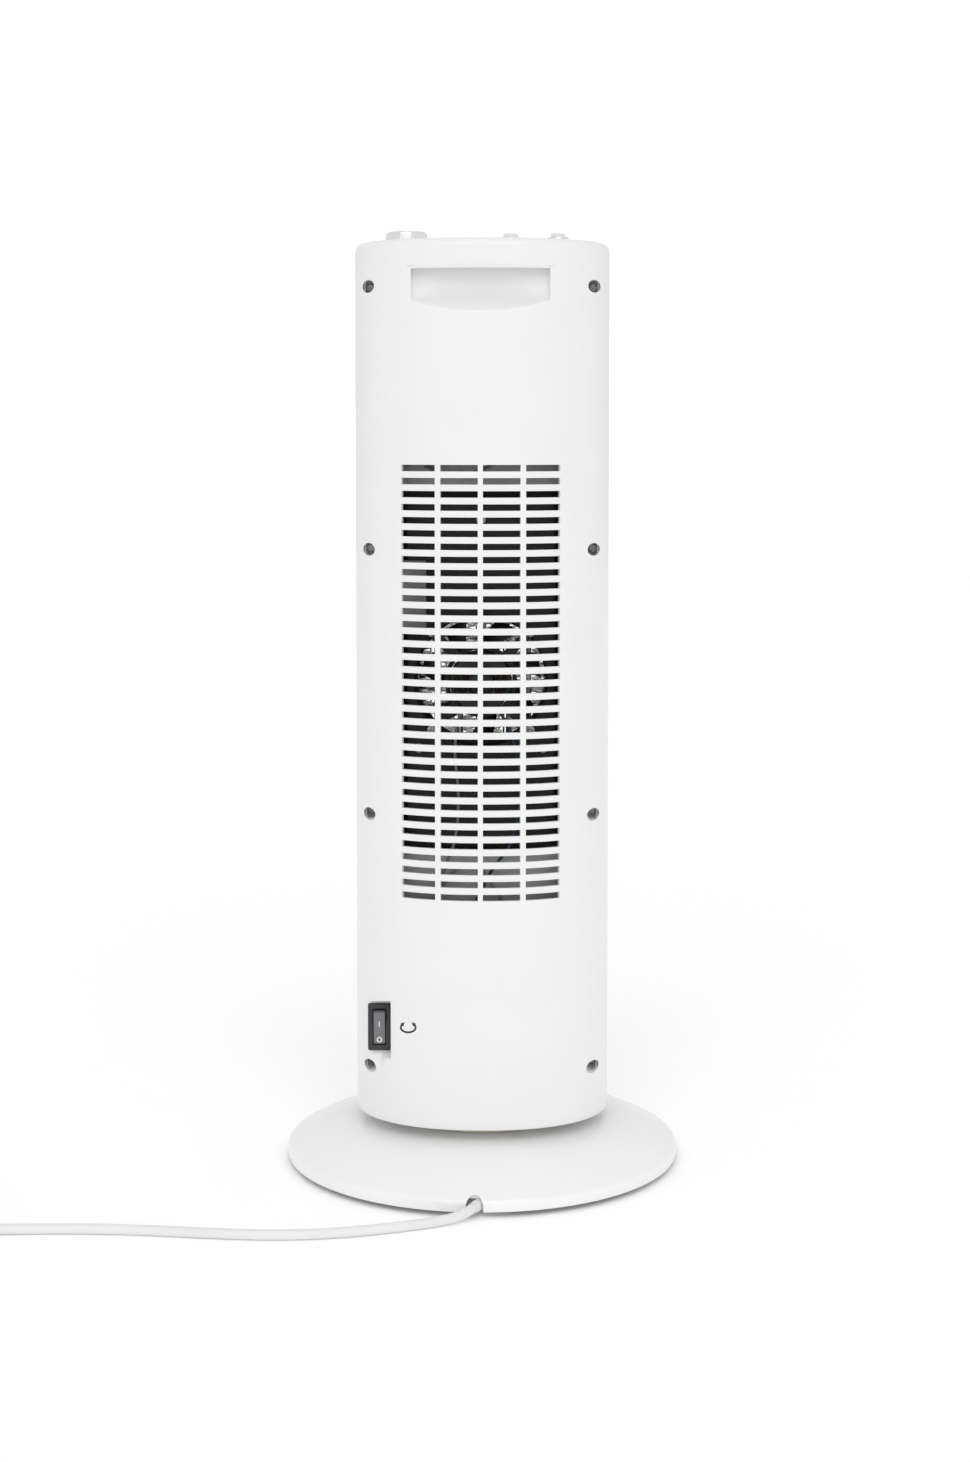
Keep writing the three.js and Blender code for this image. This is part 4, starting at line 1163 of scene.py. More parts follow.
@dataclass
class FrontCasing(CasingHalf):
    """The front half with its outlet opening and the louvred grille in it."""

    outlet_half: float = 48 * MM
    outlet_low: float = 172 * MM
    outlet_high: float = 452 * MM
    border: float = 5.5 * MM
    slats: int = 24
    gap: float = 0.3 * MM

    def build(self) -> None:
        """Make the front casing and the grille."""
        angles = self.columns((self.outlet_half,))
        breaks = [self.bottom, self.outlet_low, self.outlet_high, self.top - self.edge]
        heights, insets = self.over_edge(filled(breaks, 8 * MM))
        x, y = self.section.at(angles[None, :], insets[:, None])
        points = np.stack([x, y, np.broadcast_to(heights[:, None], x.shape)], axis=-1)
        cx, cz = (x[0, :-1] + x[0, 1:]) / 2, (heights[:-1] + heights[1:]) / 2
        beyond = (cz < self.outlet_low) | (cz > self.outlet_high)
        keep = (np.abs(cx) > self.outlet_half)[None, :] | beyond[:, None]
        faces = grid_quads(*x.shape, keep=keep).tolist()
        shell = self.finish_shell("front_casing", points.reshape(-1, 3), faces, -1)
        self.fit(shell, "white_shell", "tower", "white_shell", ("front_cover",))
        self._grille()

    def _grille(self) -> None:
        """A frame on the wall's curve, sloping slats, two upright ribs and thin guard wires."""
        frame_piece = self._frame()
        slats = [self._slat(k) for k in range(self.slats)]
        ribs = [self._rib(x) for x in (-16 * MM, 16 * MM)]
        grille = joined("outlet_louvres", [frame_piece, *slats, *ribs])
        self.fit(grille, "grille_black", "tower", "black_plastic", ("outlet_grille",))
        wires = [self._wire(x) for x in np.linspace(-40, 40, 17) * MM]
        self.fit(joined("guard_wires", wires), "zinc_plate", "tower", "zinc_steel")

    def _frame(self) -> bpy.types.Object:
        """The rectangular frame: the wall's own surface, 0.4 mm inwards, open in its middle."""
        half, inner = self.outlet_half - self.gap, self.outlet_half - self.gap - self.border
        low, high = self.outlet_low + self.gap, self.outlet_high - self.gap
        xs = filled([-half, -inner, inner, half], 4 * MM)
        zs = filled([low, low + self.border, high - self.border, high], 12 * MM)
        x, z = np.meshgrid(xs, zs)
        points = np.stack([x, -(self.section.depth(x) - 0.4 * MM), z], axis=-1)
        cx, cz = (xs[:-1] + xs[1:]) / 2, (zs[:-1] + zs[1:]) / 2
        keep = (np.abs(cx)[None, :] > inner) | ((cz < low + self.border) | (cz > high - self.border))[:, None]
        faces = grid_quads(len(zs), len(xs), keep=keep)
        frame_piece = mesh_piece("frame", points, faces, inside=TOWER_MIDDLE)
        thicken(frame_piece, 3.0 * MM)
        soften(frame_piece, 0.5 * MM, 3)
        return bake_modifiers(frame_piece)

    def _slat(self, number: int) -> bpy.types.Object:
        """One slat: a thin lens-shaped profile, sloping down and out, carried along the wall's curve."""
        low, high = self.outlet_low + self.border, self.outlet_high - self.border
        middle = low + (high - low) * (number + 0.5) / self.slats
        half = self.outlet_half - self.gap - self.border + 0.5 * MM
        xs = np.linspace(-half, half, 25)
        turn = np.linspace(0, 2 * np.pi, 14, endpoint=False)
        along, across = 4.6 * MM * np.cos(turn), 0.85 * MM * np.sin(turn)
        slope = math.radians(32)
        out = along * math.cos(slope) - across * math.sin(slope)
        up = -along * math.sin(slope) + across * math.cos(slope)
        y = -(self.section.depth(xs) - 5.6 * MM)[:, None] - out[None, :]
        x = np.broadcast_to(xs[:, None], y.shape)
        z = np.broadcast_to(middle + up[None, :], y.shape)
        faces = grid_quads(len(xs), len(turn), wrap=True).tolist()
        around = len(turn)
        faces += [list(range(around)), list(range((len(xs) - 1) * around, len(xs) * around))]
        return mesh_piece(f"slat_{number}", np.stack([x, y, z], axis=-1), faces)

    def _rib(self, x: float) -> bpy.types.Object:
        """An upright rib that ties the slats together."""
        y = -float(self.section.depth(x))
        low = (x - 1.1 * MM, y + 2.4 * MM, self.outlet_low + self.border - 0.5 * MM)
        high = (x + 1.1 * MM, y + 9.4 * MM, self.outlet_high - self.border + 0.5 * MM)
        return rounded_box("rib", low, high, 0.5 * MM)

    def _wire(self, x: float) -> bpy.types.Object:
        """A thin upright guard wire behind the slats."""
        y = -float(self.section.depth(x)) + 12.4 * MM
        low, high = self.outlet_low + 1.5 * MM, self.outlet_high - 1.5 * MM
        path = np.array([[x, y, z] for z in (low, (low + high) / 2, high)])
        return tube("wire", path, 0.55 * MM, 8)


# ---------------------------------------------------------------- base
@dataclass
class Base(Assembly):
    """The round weighted base: a domed cover, its plate, feet and screws."""

    radius: float = 125 * MM
    hole: float = 19 * MM
    flat: float = 60 * MM
    rim: float = 10 * MM
    rise: float = 18 * MM
    foot: float = 3.5 * MM
    wall: float = 2.5 * MM
    fillet: float = 3 * MM
    notch: tuple = (2.4 * MM, 5.2 * MM, 7.4 * MM)
    steps: int = 180

    def dome(self, r: Array) -> Array:
        """Height of the cover: level inside the flat radius, then falling with the square of the rest."""
        run = np.clip((r - self.flat) / (self.radius - self.flat), 0, 1)
        return self.rim + self.rise * (1 - run**2)

    def build(self) -> None:
        """Make the base's pieces."""
        self._cover()
        self._plate()
        for k in range(4):
            self._foot(f"foot_{k + 1}")
        for k in range(3):
            self._screw(f"base_screw_{k + 1}")

    def _cover(self) -> None:
        """The cover: the dome's profile with a filleted rim, turned, with the cord's arch cut out."""
        edge = 0.6 * MM
        level, falling = [self.hole + edge, self.flat - 6 * MM], np.linspace(self.flat, 123.4 * MM, 30)
        r = np.concatenate([level, falling])
        outside = np.stack([r, self.dome(r)], axis=1)
        corner = arc((self.radius - self.fillet, 8.23 * MM), self.fillet, 61.6, 0, 8)[1:]
        side = np.array([[self.radius, self.foot + edge], [self.radius - edge / 2, self.foot]])
        inner = self.radius - self.wall
        inside_r = np.linspace(inner - 2 * MM, self.flat, 14)
        inside = np.stack([inside_r, self.dome(inside_r + 1 * MM) - self.wall], axis=1)
        back = np.array([[inner, self.foot], [inner, self.rim - 2 * MM]])
        top = self.rim + self.rise
        lip = np.array([[self.hole, top - self.wall], [self.hole, top - edge], [self.hole + edge, top]])
        profile = np.vstack([outside, corner, side, back, inside, lip])
        cover = turned("base_dome", profile, (0, 0, 0), steps=self.steps)
        carve(cover, self._mouth())
        self.fit(cover, "white_base", "base", "white_shell", ("base_cover",))

    def _mouth(self) -> bpy.types.Object:
        """The tool for the cord's arch: an upright slot with a round top, run through the rim."""
        x, half, arch = self.notch
        foot, through = -1 * MM, (119 * MM, 130 * MM)
        s = np.linspace(0, np.pi, 25)
        crown = np.stack([x + half * np.cos(s), arch + half * np.sin(s)], axis=1)
        outline = np.vstack([[[x + half, foot]], crown, [[x - half, foot]]])
        n = len(outline)
        ends = [np.column_stack([outline[:, 0], np.full(n, y), outline[:, 1]]) for y in through]
        faces = [[k, (k + 1) % n, n + (k + 1) % n, n + k] for k in range(n)]
        faces += [list(range(n)), list(range(n, 2 * n))]
        return mesh_piece("mouth", np.vstack(ends), faces)

    def _plate(self) -> None:
        """The bottom plate: a stepped disc with a rolled rim and two raised stiffening rings."""
        outer = self.radius - self.wall - 0.4 * MM
        low, high = self.foot, self.foot + self.wall
        foot, crest, raised = 1.2 * MM, 0.8 * MM, high + 0.5 * MM
        ribs = []
        for r in (40 * MM, 72 * MM):
            ribs += [[r - foot, high], [r - crest, raised], [r + crest, raised], [r + foot, high]]
        profile = [
            [0, low + 0.8 * MM],
            [26 * MM, low + 0.8 * MM],
            [27 * MM, low],
            [outer - 0.5 * MM, low],
            [outer, low + 0.5 * MM],
            [outer, high - 0.5 * MM],
            [outer - 0.5 * MM, high],
            *ribs[::-1],
            [0, high],
        ]
        plate = turned("bottom_plate", np.array(profile), (0, 0, 0), steps=120)
        tool = rounded_box("gap", (-17 * MM, 92 * MM, 0), (9 * MM, 130 * MM, 12 * MM), 1 * MM)
        carve(plate, tool)
        self.fit(plate, "grille_black", "base", "black_plastic", ("base_plate",))

    def _foot(self, node: str) -> None:
        """A rubber foot: a low pad with a rounded edge and a ringed face."""
        low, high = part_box(node)
        x, y = (low[0] + high[0]) / 2, (low[1] + high[1]) / 2
        r = (high[0] - low[0]) / 2
        edge = arc((r - 0.8 * MM, 0.8 * MM), 0.8 * MM, -90, 0, 6)
        rings = np.array([[0, 0.4], [2, 0.4], [2.4, 0], [5, 0], [5.3, 0.4], [5.9, 0.4], [6.2, 0]]) * MM
        back = [[r - 0.4 * MM, 3.1 * MM], [3 * MM, 3.2 * MM]]
        stem = [[3 * MM, high[2] - 0.5 * MM], [2.5 * MM, high[2]], [0, high[2]]]
        profile = np.vstack([rings, edge, back, stem])
        foot = turned(node.replace("foot", "rubber_foot"), profile, (x, y, 0), steps=40)
        self.fit(foot, "foot_rubber", "base", "foot_rubber", (node,))

    def _screw(self, node: str) -> None:
        """A screw that holds the plate to the cover, facing down."""
        low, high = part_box(node)
        place = ((low[0] + high[0]) / 2, (low[1] + high[1]) / 2, low[2] + 1.2 * MM)
        screw = cross_screw(node.replace("base", "plate"), place, (0, 0, -1), 3.4 * MM, 0.9 * MM, 10 * MM)
        self.fit(screw, "zinc_plate", "base", "zinc_steel", (node,))


# ---------------------------------------------------------------- top controls
@dataclass
class TopControls(Assembly):
    """The top panel with the thermostat knob, two push buttons and the pilot lens."""

    section: Section = field(default_factory=tower_section)
    inset: float = 8.3 * MM
    face: float = 583.2 * MM
    low: float = 579.5 * MM
    knob_x: float = 48 * MM
    buttons: tuple = (("heat_button", -48 * MM, 2), ("fan_button", -18 * MM, 1))
    lens_x: float = 15 * MM

    def build(self) -> None:
        """Make all controls."""
        self._panel()
        self._knob()
        for node, x, _ in self.buttons:
            self._button(node, x)
        self._lens()
        self._marks()

    def _panel(self) -> None:
        """The panel: nested sections from its middle over a rounded edge to its underside."""
        profile = [(30 * MM, 0), (1.2 * MM, 0), (0.5 * MM, -0.25 * MM), (0.1 * MM, -0.8 * MM), (0, -1.4 * MM)]
        drop = self.low - self.face
        profile += [(0, drop + 0.3 * MM), (0.4 * MM, drop), (30 * MM, drop)]
        angle = np.linspace(0, 2 * np.pi, 144, endpoint=False)
        rows = []
        for inset, height in profile:
            x, y = self.section.at(angle, self.inset + inset)
            rows.append(np.column_stack([x, y, np.full(len(angle), self.face + height)]))
        n = len(angle)
        faces = grid_quads(len(rows), n, wrap=True).tolist()
        faces += [list(range(n)), list(range((len(rows) - 1) * n, len(rows) * n))]
        panel = mesh_piece("top_plate", np.array(rows), faces)
        tools = []
        holes = [(self.knob_x, 4.0), *((x, 5.0) for _, x, _ in self.buttons), (self.lens_x, 2.9)]
        for x, r in holes:
            hole = np.array([[0, -8], [r, -8], [r, 8], [0, 8]]) * MM
            tools.append(turned("hole", hole, (x, 0, self.face), steps=40))
        carve(panel, *tools)
        self.fit(panel, "white_shell", "tower", "white_shell", ("top_panel",))

    def _knob(self) -> None:
        """The knob: a plated cup with a fluted skirt, a dished cap and a raised pointer.

        The skirt's radius falls and rises 0.12 mm, 48 times around.
        """
        _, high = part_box("thermostat_knob")
        top, foot = high[2], 584 * MM
        skirt = [[0, 0], [11, 0], [12.7, 0], [13.3, 0.5], [13.35, 1.2], [13.2, 4.5], [13, 6.5], [12.7, 7.4]]
        rim = [[12.1, 8], [11.4, 8.25], [10.6, 8.3], [10.1, 8.1], [9.6, 7.7]]
        dish = [[6, 7.35], [2, 7.25], [0, 7.25]]
        profile = np.array(skirt + rim + dish) * MM
        radius, height = profile.T
        angle = np.linspace(0, 2 * np.pi, 192, endpoint=False)
        flute = 0.12 * MM * (np.cos(48 * angle) - 1) / 2
        fluted = (height > 0.8 * MM) & (height < 7.0 * MM) & (radius > 12.8 * MM)
        r = radius[:, None] + flute[None, :] * fluted[:, None]
        x, y = self.knob_x + r * np.cos(angle), r * np.sin(angle)
        z = np.broadcast_to(foot + np.minimum(height, top - foot)[:, None], x.shape)
        faces = grid_quads(len(profile), len(angle), wrap=True)
        knob = mesh_piece("knob_cup", np.stack([x, y, z], axis=-1), faces)
        self.fit(knob, "bright_chrome", "thermostat_knob", "chrome_trim", ("thermostat_knob",))
        pointer = rounded_box(
            "knob_pointer",
            (self.knob_x - 0.6 * MM, 3.0 * MM, foot + 7.2 * MM),
            (self.knob_x + 0.6 * MM, 9.0 * MM, foot + 7.9 * MM),
            0.3 * MM,
        )
        self.fit(pointer, "mark_grey", "thermostat_knob", "black_plastic")
        rod = np.array([[0, 561], [3, 561], [3, 584.5], [0, 584.5]]) * MM
        spindle = turned("knob_spindle", rod, (self.knob_x, 0, 0), steps=32)
        self.fit(spindle, "natural_nylon", "thermostat_knob", "natural_nylon")

    def _button(self, node: str, x: float) -> None:
        """A domed cap on its stem, and the plated ring around it."""
        low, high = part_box(node)
        top, r = high[2], 4.6 * MM
        s = np.linspace(0, 1, 12)
        crown = np.stack([r * np.sin(s * np.pi / 2), top - 1.5 * MM * (1 - np.cos(s * np.pi / 2))], axis=1)
        foot, rod = top - 15.6 * MM, 2 * MM
        stem = [[r, foot + 0.6 * MM], [r - 0.4 * MM, foot], [rod, foot], [rod, low[2]], [0, low[2]]]
        cap = turned(node.replace("button", "cap"), np.vstack([crown, stem]), (x, 0, 0), steps=56)
        self.fit(cap, "button_white", node, "button_plastic", (node,))
        ring_low, ring_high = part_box(f"{node}_ring")
        outer, z0, z1 = (ring_high[0] - ring_low[0]) / 2, ring_low[2], ring_high[2]
        inner = 5 * MM
        crest = arc(((inner + outer) / 2, z1 - 0.9 * MM), 0.9 * MM, 0, 180, 13)
        seat = z0 + 0.5 * MM
        side = [[inner, seat], [outer, seat], [outer, z0 + 1.0 * MM], [outer - 0.5 * MM, z0 + 1.6 * MM]]
        profile = np.vstack([crest, side, [[outer, z1 - 0.9 * MM]]])
        ring = turned(f"{node}_bezel", profile, (x, 0, 0), steps=72)
        self.fit(ring, "bright_chrome", "tower", "chrome_trim", (f"{node}_ring",))

    def _lens(self) -> None:
        """The pilot lens: a low dome with a stepped foot."""
        low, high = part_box("pilot_lens")
        r, top = 3.6 * MM, high[2]
        s = np.linspace(0, 1, 9)
        dome = np.stack([r * np.sin(s * np.pi / 2), top - 1.1 * MM * (1 - np.cos(s * np.pi / 2))], axis=1)
        foot = [[r, 583.6 * MM], [2.6 * MM, 583.5 * MM], [2.6 * MM, low[2]], [0, low[2]]]
        lens = turned("pilot_dome", np.vstack([dome, foot]), (self.lens_x, 0, 0), steps=40)
        self.fit(lens, "amber_lens", "tower", "lamp_lens", ("pilot_lens",))

    def _marks(self) -> None:
        """Printed marks: a swelling arc with ticks round the knob, and one or two bars by each button."""
        flat = []
        turn = np.radians(np.linspace(90, -180, 60))
        swell = np.linspace(0.12, 1.1, 60) * MM
        for sign in (0, 1):
            r = 16.2 * MM + sign * swell
            flat.append(np.stack([self.knob_x + r * np.cos(turn), r * np.sin(turn)], axis=1))
        shapes = [(np.array(flat), grid_quads(2, 60).tolist())]
        ticks = np.linspace(90, -180, 10)
        shapes += [self._bar(self.knob_x, degrees, 14.6 * MM, 15.7 * MM, 0.22 * MM) for degrees in ticks]
        for _, x, count in self.buttons:
            for k in range(count):
                offset = (k - (count - 1) / 2) * 1.8 * MM
                shapes.append(self._bar(x + offset, 90, 10.5 * MM, 14.0 * MM, 0.3 * MM))
        pieces = []
        for number, (outline, faces) in enumerate(shapes):
            outline = outline.reshape(-1, 2)
            lifted = np.column_stack([outline, np.full(len(outline), self.face + 0.12 * MM)])
            piece = mesh_piece(f"mark_{number}", lifted, faces, inside=(0, 0, 0.1))
            thicken(piece, 0.2 * MM)
            pieces.append(bake_modifiers(piece))
        self.fit(joined("panel_marks", pieces), "mark_grey", "tower", "black_plastic")

    def _bar(self, x: float, degrees: float, start: float, end: float, half: float) -> tuple[Array, list]:
        """A straight bar from a start to an end radius, in a direction from (x, 0)."""
        a = math.radians(degrees)
        along, side = np.array([math.cos(a), math.sin(a)]), np.array([-math.sin(a), math.cos(a)])
        centre = np.array([x, 0])
        spots = (start, -half), (end, -half), (end, half), (start, half)
        corners = [centre + along * r + side * s for r, s in spots]
        return np.array(corners)[None], [[0, 1, 2, 3]]


# ---------------------------------------------------------------- swing switch
@dataclass
class SwingSwitch(Assembly):
    """The rocker switch for the swing, set in the flat seat of the rear casing."""

    x: float = 64 * MM
    z: float = 92.3 * MM
    face: float = 38 * MM
    tilt: float = 10.0
    half: float = 10.35 * MM

    def build(self) -> None:
        """Make the bezel and the rocker."""
        self._bezel()
        self._rocker()

    def _loop(self, half_x: float, half_z: float, radius: float, y: float, steps: int = 7) -> Array:
        """A rounded rectangle square to Y, as points around."""
        parts = [
            arc((sx * (half_x - radius), sz * (half_z - radius)), radius, start, start + 90, steps)
            for sx, sz, start in ((1, 1, 0), (-1, 1, 90), (-1, -1, 180), (1, -1, 270))
        ]
        flat = np.vstack(parts)
        return np.column_stack([self.x + flat[:, 0], np.full(len(flat), y), self.z + flat[:, 1]])

    def _bezel(self) -> None:
        """The bezel and the case behind it.

        Rounded rectangles shrink from the bezel's foot over its crowned face to the window, run
        down the window's walls and close at its floor; outside, they go back along the case.
        """
        rows = [
            (4.6, 12.2, 0.6, -22.0),
            (5.4, 13.0, 0.8, -21.6),
            (5.4, 13.0, 0.8, 0.3),
            (7.3, 15.0, 1.2, 0.3),
            (7.3, 15.0, 1.2, 1.0),
            (7.15, 14.85, 1.2, 1.6),
            (6.7, 14.4, 1.1, 2.1),
            (6.0, 13.6, 1.0, 2.2),
            (4.8, 12.2, 0.9, 2.2),
            (4.3, 11.6, 0.6, 2.0),
            (4.0, 11.3, 0.5, 1.5),
            (4.0, 11.3, 0.5, -4.8),
        ]
        loops = [self._loop(a * MM, b * MM, r * MM, self.face + y * MM) for a, b, r, y in rows]
        n = len(loops[0])
        faces = grid_quads(len(loops), n, wrap=True).tolist()
        faces += [list(range(n)), list(range((len(loops) - 1) * n, len(loops) * n))]
        bezel = mesh_piece("switch_bezel", np.array(loops), faces)
        bezel.data.set_sharp_from_angle(angle=math.radians(40))
        self.fit(bezel, "bezel_grey", "tower", "switch_plastic", ("rocker_case",))

    def _rocker(self) -> None:
        """The rocker: a shallow V profile with round ends, swept across its width, tilted about its pivot.

        The sides pull in over an edge rounded by 0.7 mm.
        """
        pivot = (0, self.face - 1 * MM, self.z)
        rows, cols = 41, 13
        along = np.linspace(-1, 1, rows)
        end = np.clip((np.abs(along) - 0.93) / 0.07, 0, 1)
        top = self._crown(np.abs(along)) - 0.9 * MM * (1 - np.sqrt(1 - end**2))
        across = np.radians(np.linspace(-90, 90, cols))
        width = 3.6 * MM
        edge = 0.7 * MM
        x = (width - edge) * np.clip(np.linspace(-1.6, 1.6, cols), -1, 1) + edge * np.sin(across)
        drop = edge * (1 - np.cos(across))
        gx = np.broadcast_to(x[None, :], (rows, cols))
        gy = top[:, None] - drop[None, :]
        gh = np.broadcast_to((along * self.half)[:, None], (rows, cols))
        upper = np.stack([gx, gy, gh], axis=-1)
        lower = upper[:, [0, -1]].copy()
        lower[..., 1] = -1.4 * MM
        section = np.concatenate([upper, lower[:, ::-1]], axis=1)
        around = cols + 2
        faces = grid_quads(rows, around, wrap=True).tolist()
        faces += [list(range(around)), list(range((rows - 1) * around, rows * around))]
        rocker = mesh_piece("swing_rocker", self._tilted(section, pivot), faces)
        rocker.data.set_sharp_from_angle(angle=math.radians(45))
        self.fit(rocker, "rocker_grey", "rocker", "rocker_plastic", ("rocker",))
        ring = self._on_face([arc((0, -7.4 * MM), r, 0, 360, 33)[:-1] for r in (1.0 * MM, 1.75 * MM)])
        bar_loop = np.array([[-0.3, 0.9], [0.3, 0.9], [0.3, 4.7], [-0.3, 4.7]]) * MM
        bar = self._on_face([bar_loop])
        marks = joined("rocker_marks", [self._mark(ring, True, pivot), self._mark(bar, False, pivot)])
        self.fit(marks, "mark_white", "rocker", "rocker_plastic")

    def _crown(self, share: Array) -> Array:
        """Height of the rocker's face over its pivot.

        It is 3.2 mm plus 1.4 mm times the distance along the face, as a share of half its
        length, to the power 1.6.
        """
        return (3.2 + 1.4 * share**1.6) * MM

    def _on_face(self, loops: list[Array]) -> Array:
        """Lay (x, h) points on the rocker's face, 0.05 mm proud."""
        flat = np.array(loops)
        y = self._crown(np.abs(flat[..., 1]) / self.half) + 0.05 * MM
        return np.stack([flat[..., 0], y, flat[..., 1]], axis=-1)

    def _mark(self, points: Array, ring: bool, pivot: tuple) -> bpy.types.Object:
        """A thin raised mark from points on the face."""
        faces = grid_quads(*points.shape[:2], wrap=True).tolist() if ring else [[0, 1, 2, 3]]
        piece = mesh_piece("mark", self._tilted(points, pivot), faces, inside=(self.x, 0, self.z))
        thicken(piece, 0.12 * MM)
        return bake_modifiers(piece)

    def _tilted(self, points: Array, pivot: tuple) -> Array:
        """Turn points (x, out, along) by the rest tilt and put them at the pivot."""
        a = math.radians(-self.tilt)
        x, y, h = points[..., 0], points[..., 1], points[..., 2]
        out = y * math.cos(a) - h * math.sin(a)
        up = y * math.sin(a) + h * math.cos(a)
        return np.stack([self.x + x, pivot[1] + out, pivot[2] + up], axis=-1)


# ---------------------------------------------------------------- inside
@dataclass(frozen=True)
class Wire:
    """A loose wire: its radius and the points of its route are in millimetres."""

    name: str
    finish: str
    radius: float
    route: tuple
    nodes: tuple[str, ...] = ()


@dataclass
class Inside(Assembly):
    """What shows through the slots: the fan's duct, its motor, wires and the heating element."""

    fan_z: float = 312 * MM
    throat: float = 40 * MM
    duct: tuple = (52 * MM, 205 * MM, 432 * MM)
    plenum: float = 14 * MM

    WIRES = (
        Wire(
            "loom_upright",
            "wire_grey",
            1.5,
            (
                (30, 36, 52.6), (31, 35, 60), (38, 29, 78), (54, 8, 120), (60.5, 0, 170), (61, 0, 310),
                (60, 0, 450), (50, 2, 551),
            ),
            ("wire_loom",),
        ),
        Wire(
            "loom_partner",
            "wire_brown",
            1.1,
            (
                (33, 36, 52.6), (34, 35, 60), (41, 29.5, 80), (56, 10, 124), (58, 2.5, 172),
                (58.2, 2.5, 310), (57.4, 2.5, 450), (47, 4, 551),
            ),
        ),
        Wire(
            "motor_lead_blue",
            "wire_blue",
            1.0,
            (
                (-10, 54, 296), (-16, 53.5, 286), (-22, 51, 268), (-24, 49.5, 240), (-18, 49, 210),
                (-6, 46, 192), (12, 42, 150), (26, 38, 90), (29, 36, 53),
            ),
        ),
        Wire(
            "motor_lead_grey",
            "wire_grey",
            1.0,
            (
                (10, 54, 296), (14, 53.5, 288), (16, 51, 268), (14, 49.5, 240), (16, 49, 214),
                (24, 47, 190), (34, 42, 150), (37, 38, 90), (36, 36, 53),
            ),
        ),
        Wire(
            "upper_lead",
            "wire_grey",
            1.1,
            (
                (-46, 4, 552), (-44, 16, 530), (-36, 34, 490), (-22, 44, 458), (-2, 47, 443),
                (18, 46, 440), (36, 38, 446), (52, 16, 470), (57, 6, 520), (52, 3, 551),
            ),
        ),
        Wire(
            "lower_lead",
            "wire_grey",
            1.1,
            (
                (-40, 30, 68), (-36, 36, 100), (-26, 42, 140), (-12, 46, 176), (4, 48, 196),
                (20, 46, 190), (32, 40, 150), (40, 37, 90), (39, 36, 53),
            ),
        ),
        Wire(
            "switch_lead",
            "wire_grey",
            1.0,
            (
                (61, 16, 88), (56, 14, 76), (48, 22, 62), (42, 33, 56), (41, 35, 52.6),
            ),
        ),
    )
    LEAD = (
        (-8, 105.8, 7.6), (-11, 99, 8.6), (-6, 82, 11), (-1, 60, 12), (0, 34, 12.6), (0, 16, 14.4),
        (0, 5, 21), (0, 0, 34), (0, 0, 48),
    )

    def build(self) -> None:
        """Make the inner pieces and dress the nodes that stay."""
        self._duct()
        self._bracket()
        self._motor()
        self._wheel()
        self._element()
        self._wires()
        self._screws()
        self._dress_nodes()

    def _duct(self) -> None:
        """The duct with its plenum, the shields over and under it, and the capacitor.

        The duct is a box with a bell-mouthed round inlet, and the plenum is a taller box towards
        the heater. Each row is a loop of points at the same angles around the fan's axis, on a
        rectangle or on a circle. A rectangle's point is where its ray leaves it.
        """
        half, low, high = self.duct
        angle = np.linspace(0, 2 * np.pi, 128, endpoint=False)
        c, s = np.cos(angle), np.sin(angle)

        def rectangle(inset: float, taller: float = 0.0) -> Array:
            """A loop inset from the duct's sides, and taller than the duct at both ends."""
            up = np.where(s >= 0, high - self.fan_z, self.fan_z - low) - inset + taller
            reach = np.minimum((half - inset) / np.maximum(np.abs(c), 1e-6), up / np.maximum(np.abs(s), 1e-6))
            return np.stack([reach * c, reach * s], axis=1)

        def circle(radius: float) -> Array:
            """A loop around the fan's axis."""
            return radius * np.stack([c, s], axis=1)

        extra = self.plenum
        rows = [
            (rectangle(2 * MM), 4.0),
            (rectangle(0), 4.0),
            (rectangle(0), 36.0),
            (rectangle(5.6 * MM), 45.4),
            (rectangle(6.4 * MM), 46.0),
            (circle(self.throat + 6 * MM), 46.0),
            (circle(self.throat + 5.4 * MM), 46.2),
            (circle(self.throat + 1.5 * MM), 45.4),
            (circle(self.throat + 0.4 * MM), 44.0),
            (circle(self.throat), 42.0),
            (circle(self.throat), 22.0),
            (circle(self.throat + 2 * MM), 22.0),
            (circle(self.throat + 2 * MM), 43.8),
            (rectangle(7 * MM), 43.8),
            (rectangle(2 * MM), 35.6),
            (rectangle(2 * MM), 4.0),
        ]
        sheet = [
            (rectangle(4 * MM, extra), -9.4),
            (rectangle(2.5 * MM, extra), -9.4),
            (rectangle(2.5 * MM, extra), 2.4),
            (rectangle(4 * MM, extra), 3.7),
            (rectangle(4 * MM), 3.7),
            (rectangle(4 * MM), 2.4),
            (rectangle(4 * MM, extra), 2.2),
            (rectangle(4 * MM, extra), -9.4),
        ]

        def swept(name: str, outline: list) -> bpy.types.Object:
            """A closed ring through loops, each at its own depth in mm."""
            loops = [
                np.column_stack([flat[:, 0], np.full(len(flat), y * MM), self.fan_z + flat[:, 1]])
                for flat, y in outline
            ]
            piece = mesh_piece(name, np.array(loops), grid_quads(len(loops), len(angle), wrap=True))
            piece.data.set_sharp_from_angle(angle=math.radians(35))
            return piece

        self.fit(swept("fan_duct", rows), "black_duct", "tower", "black_plastic", ("fan_housing",))
        self.fit(swept("fan_plenum", sheet), "plenum_sheet", "tower", "zinc_steel")
        for name, bottom, top in (("lower_shield", 168, 204.7), ("upper_shield", 432.3, 452)):
            corners = np.array([[-50, 38, bottom], [50, 39.2, top]]) * MM
            self.fit(rounded_box(name, *corners, 0.3 * MM), "plenum_sheet", "tower", "zinc_steel")
        corners = np.array([[33.5, 48.7, 342], [49, 52.8, 387]]) * MM
        capacitor = rounded_box("start_capacitor", *corners, 0.8 * MM)
        self.fit(capacitor, "capacitor_grey", "tower", "inner_wire")

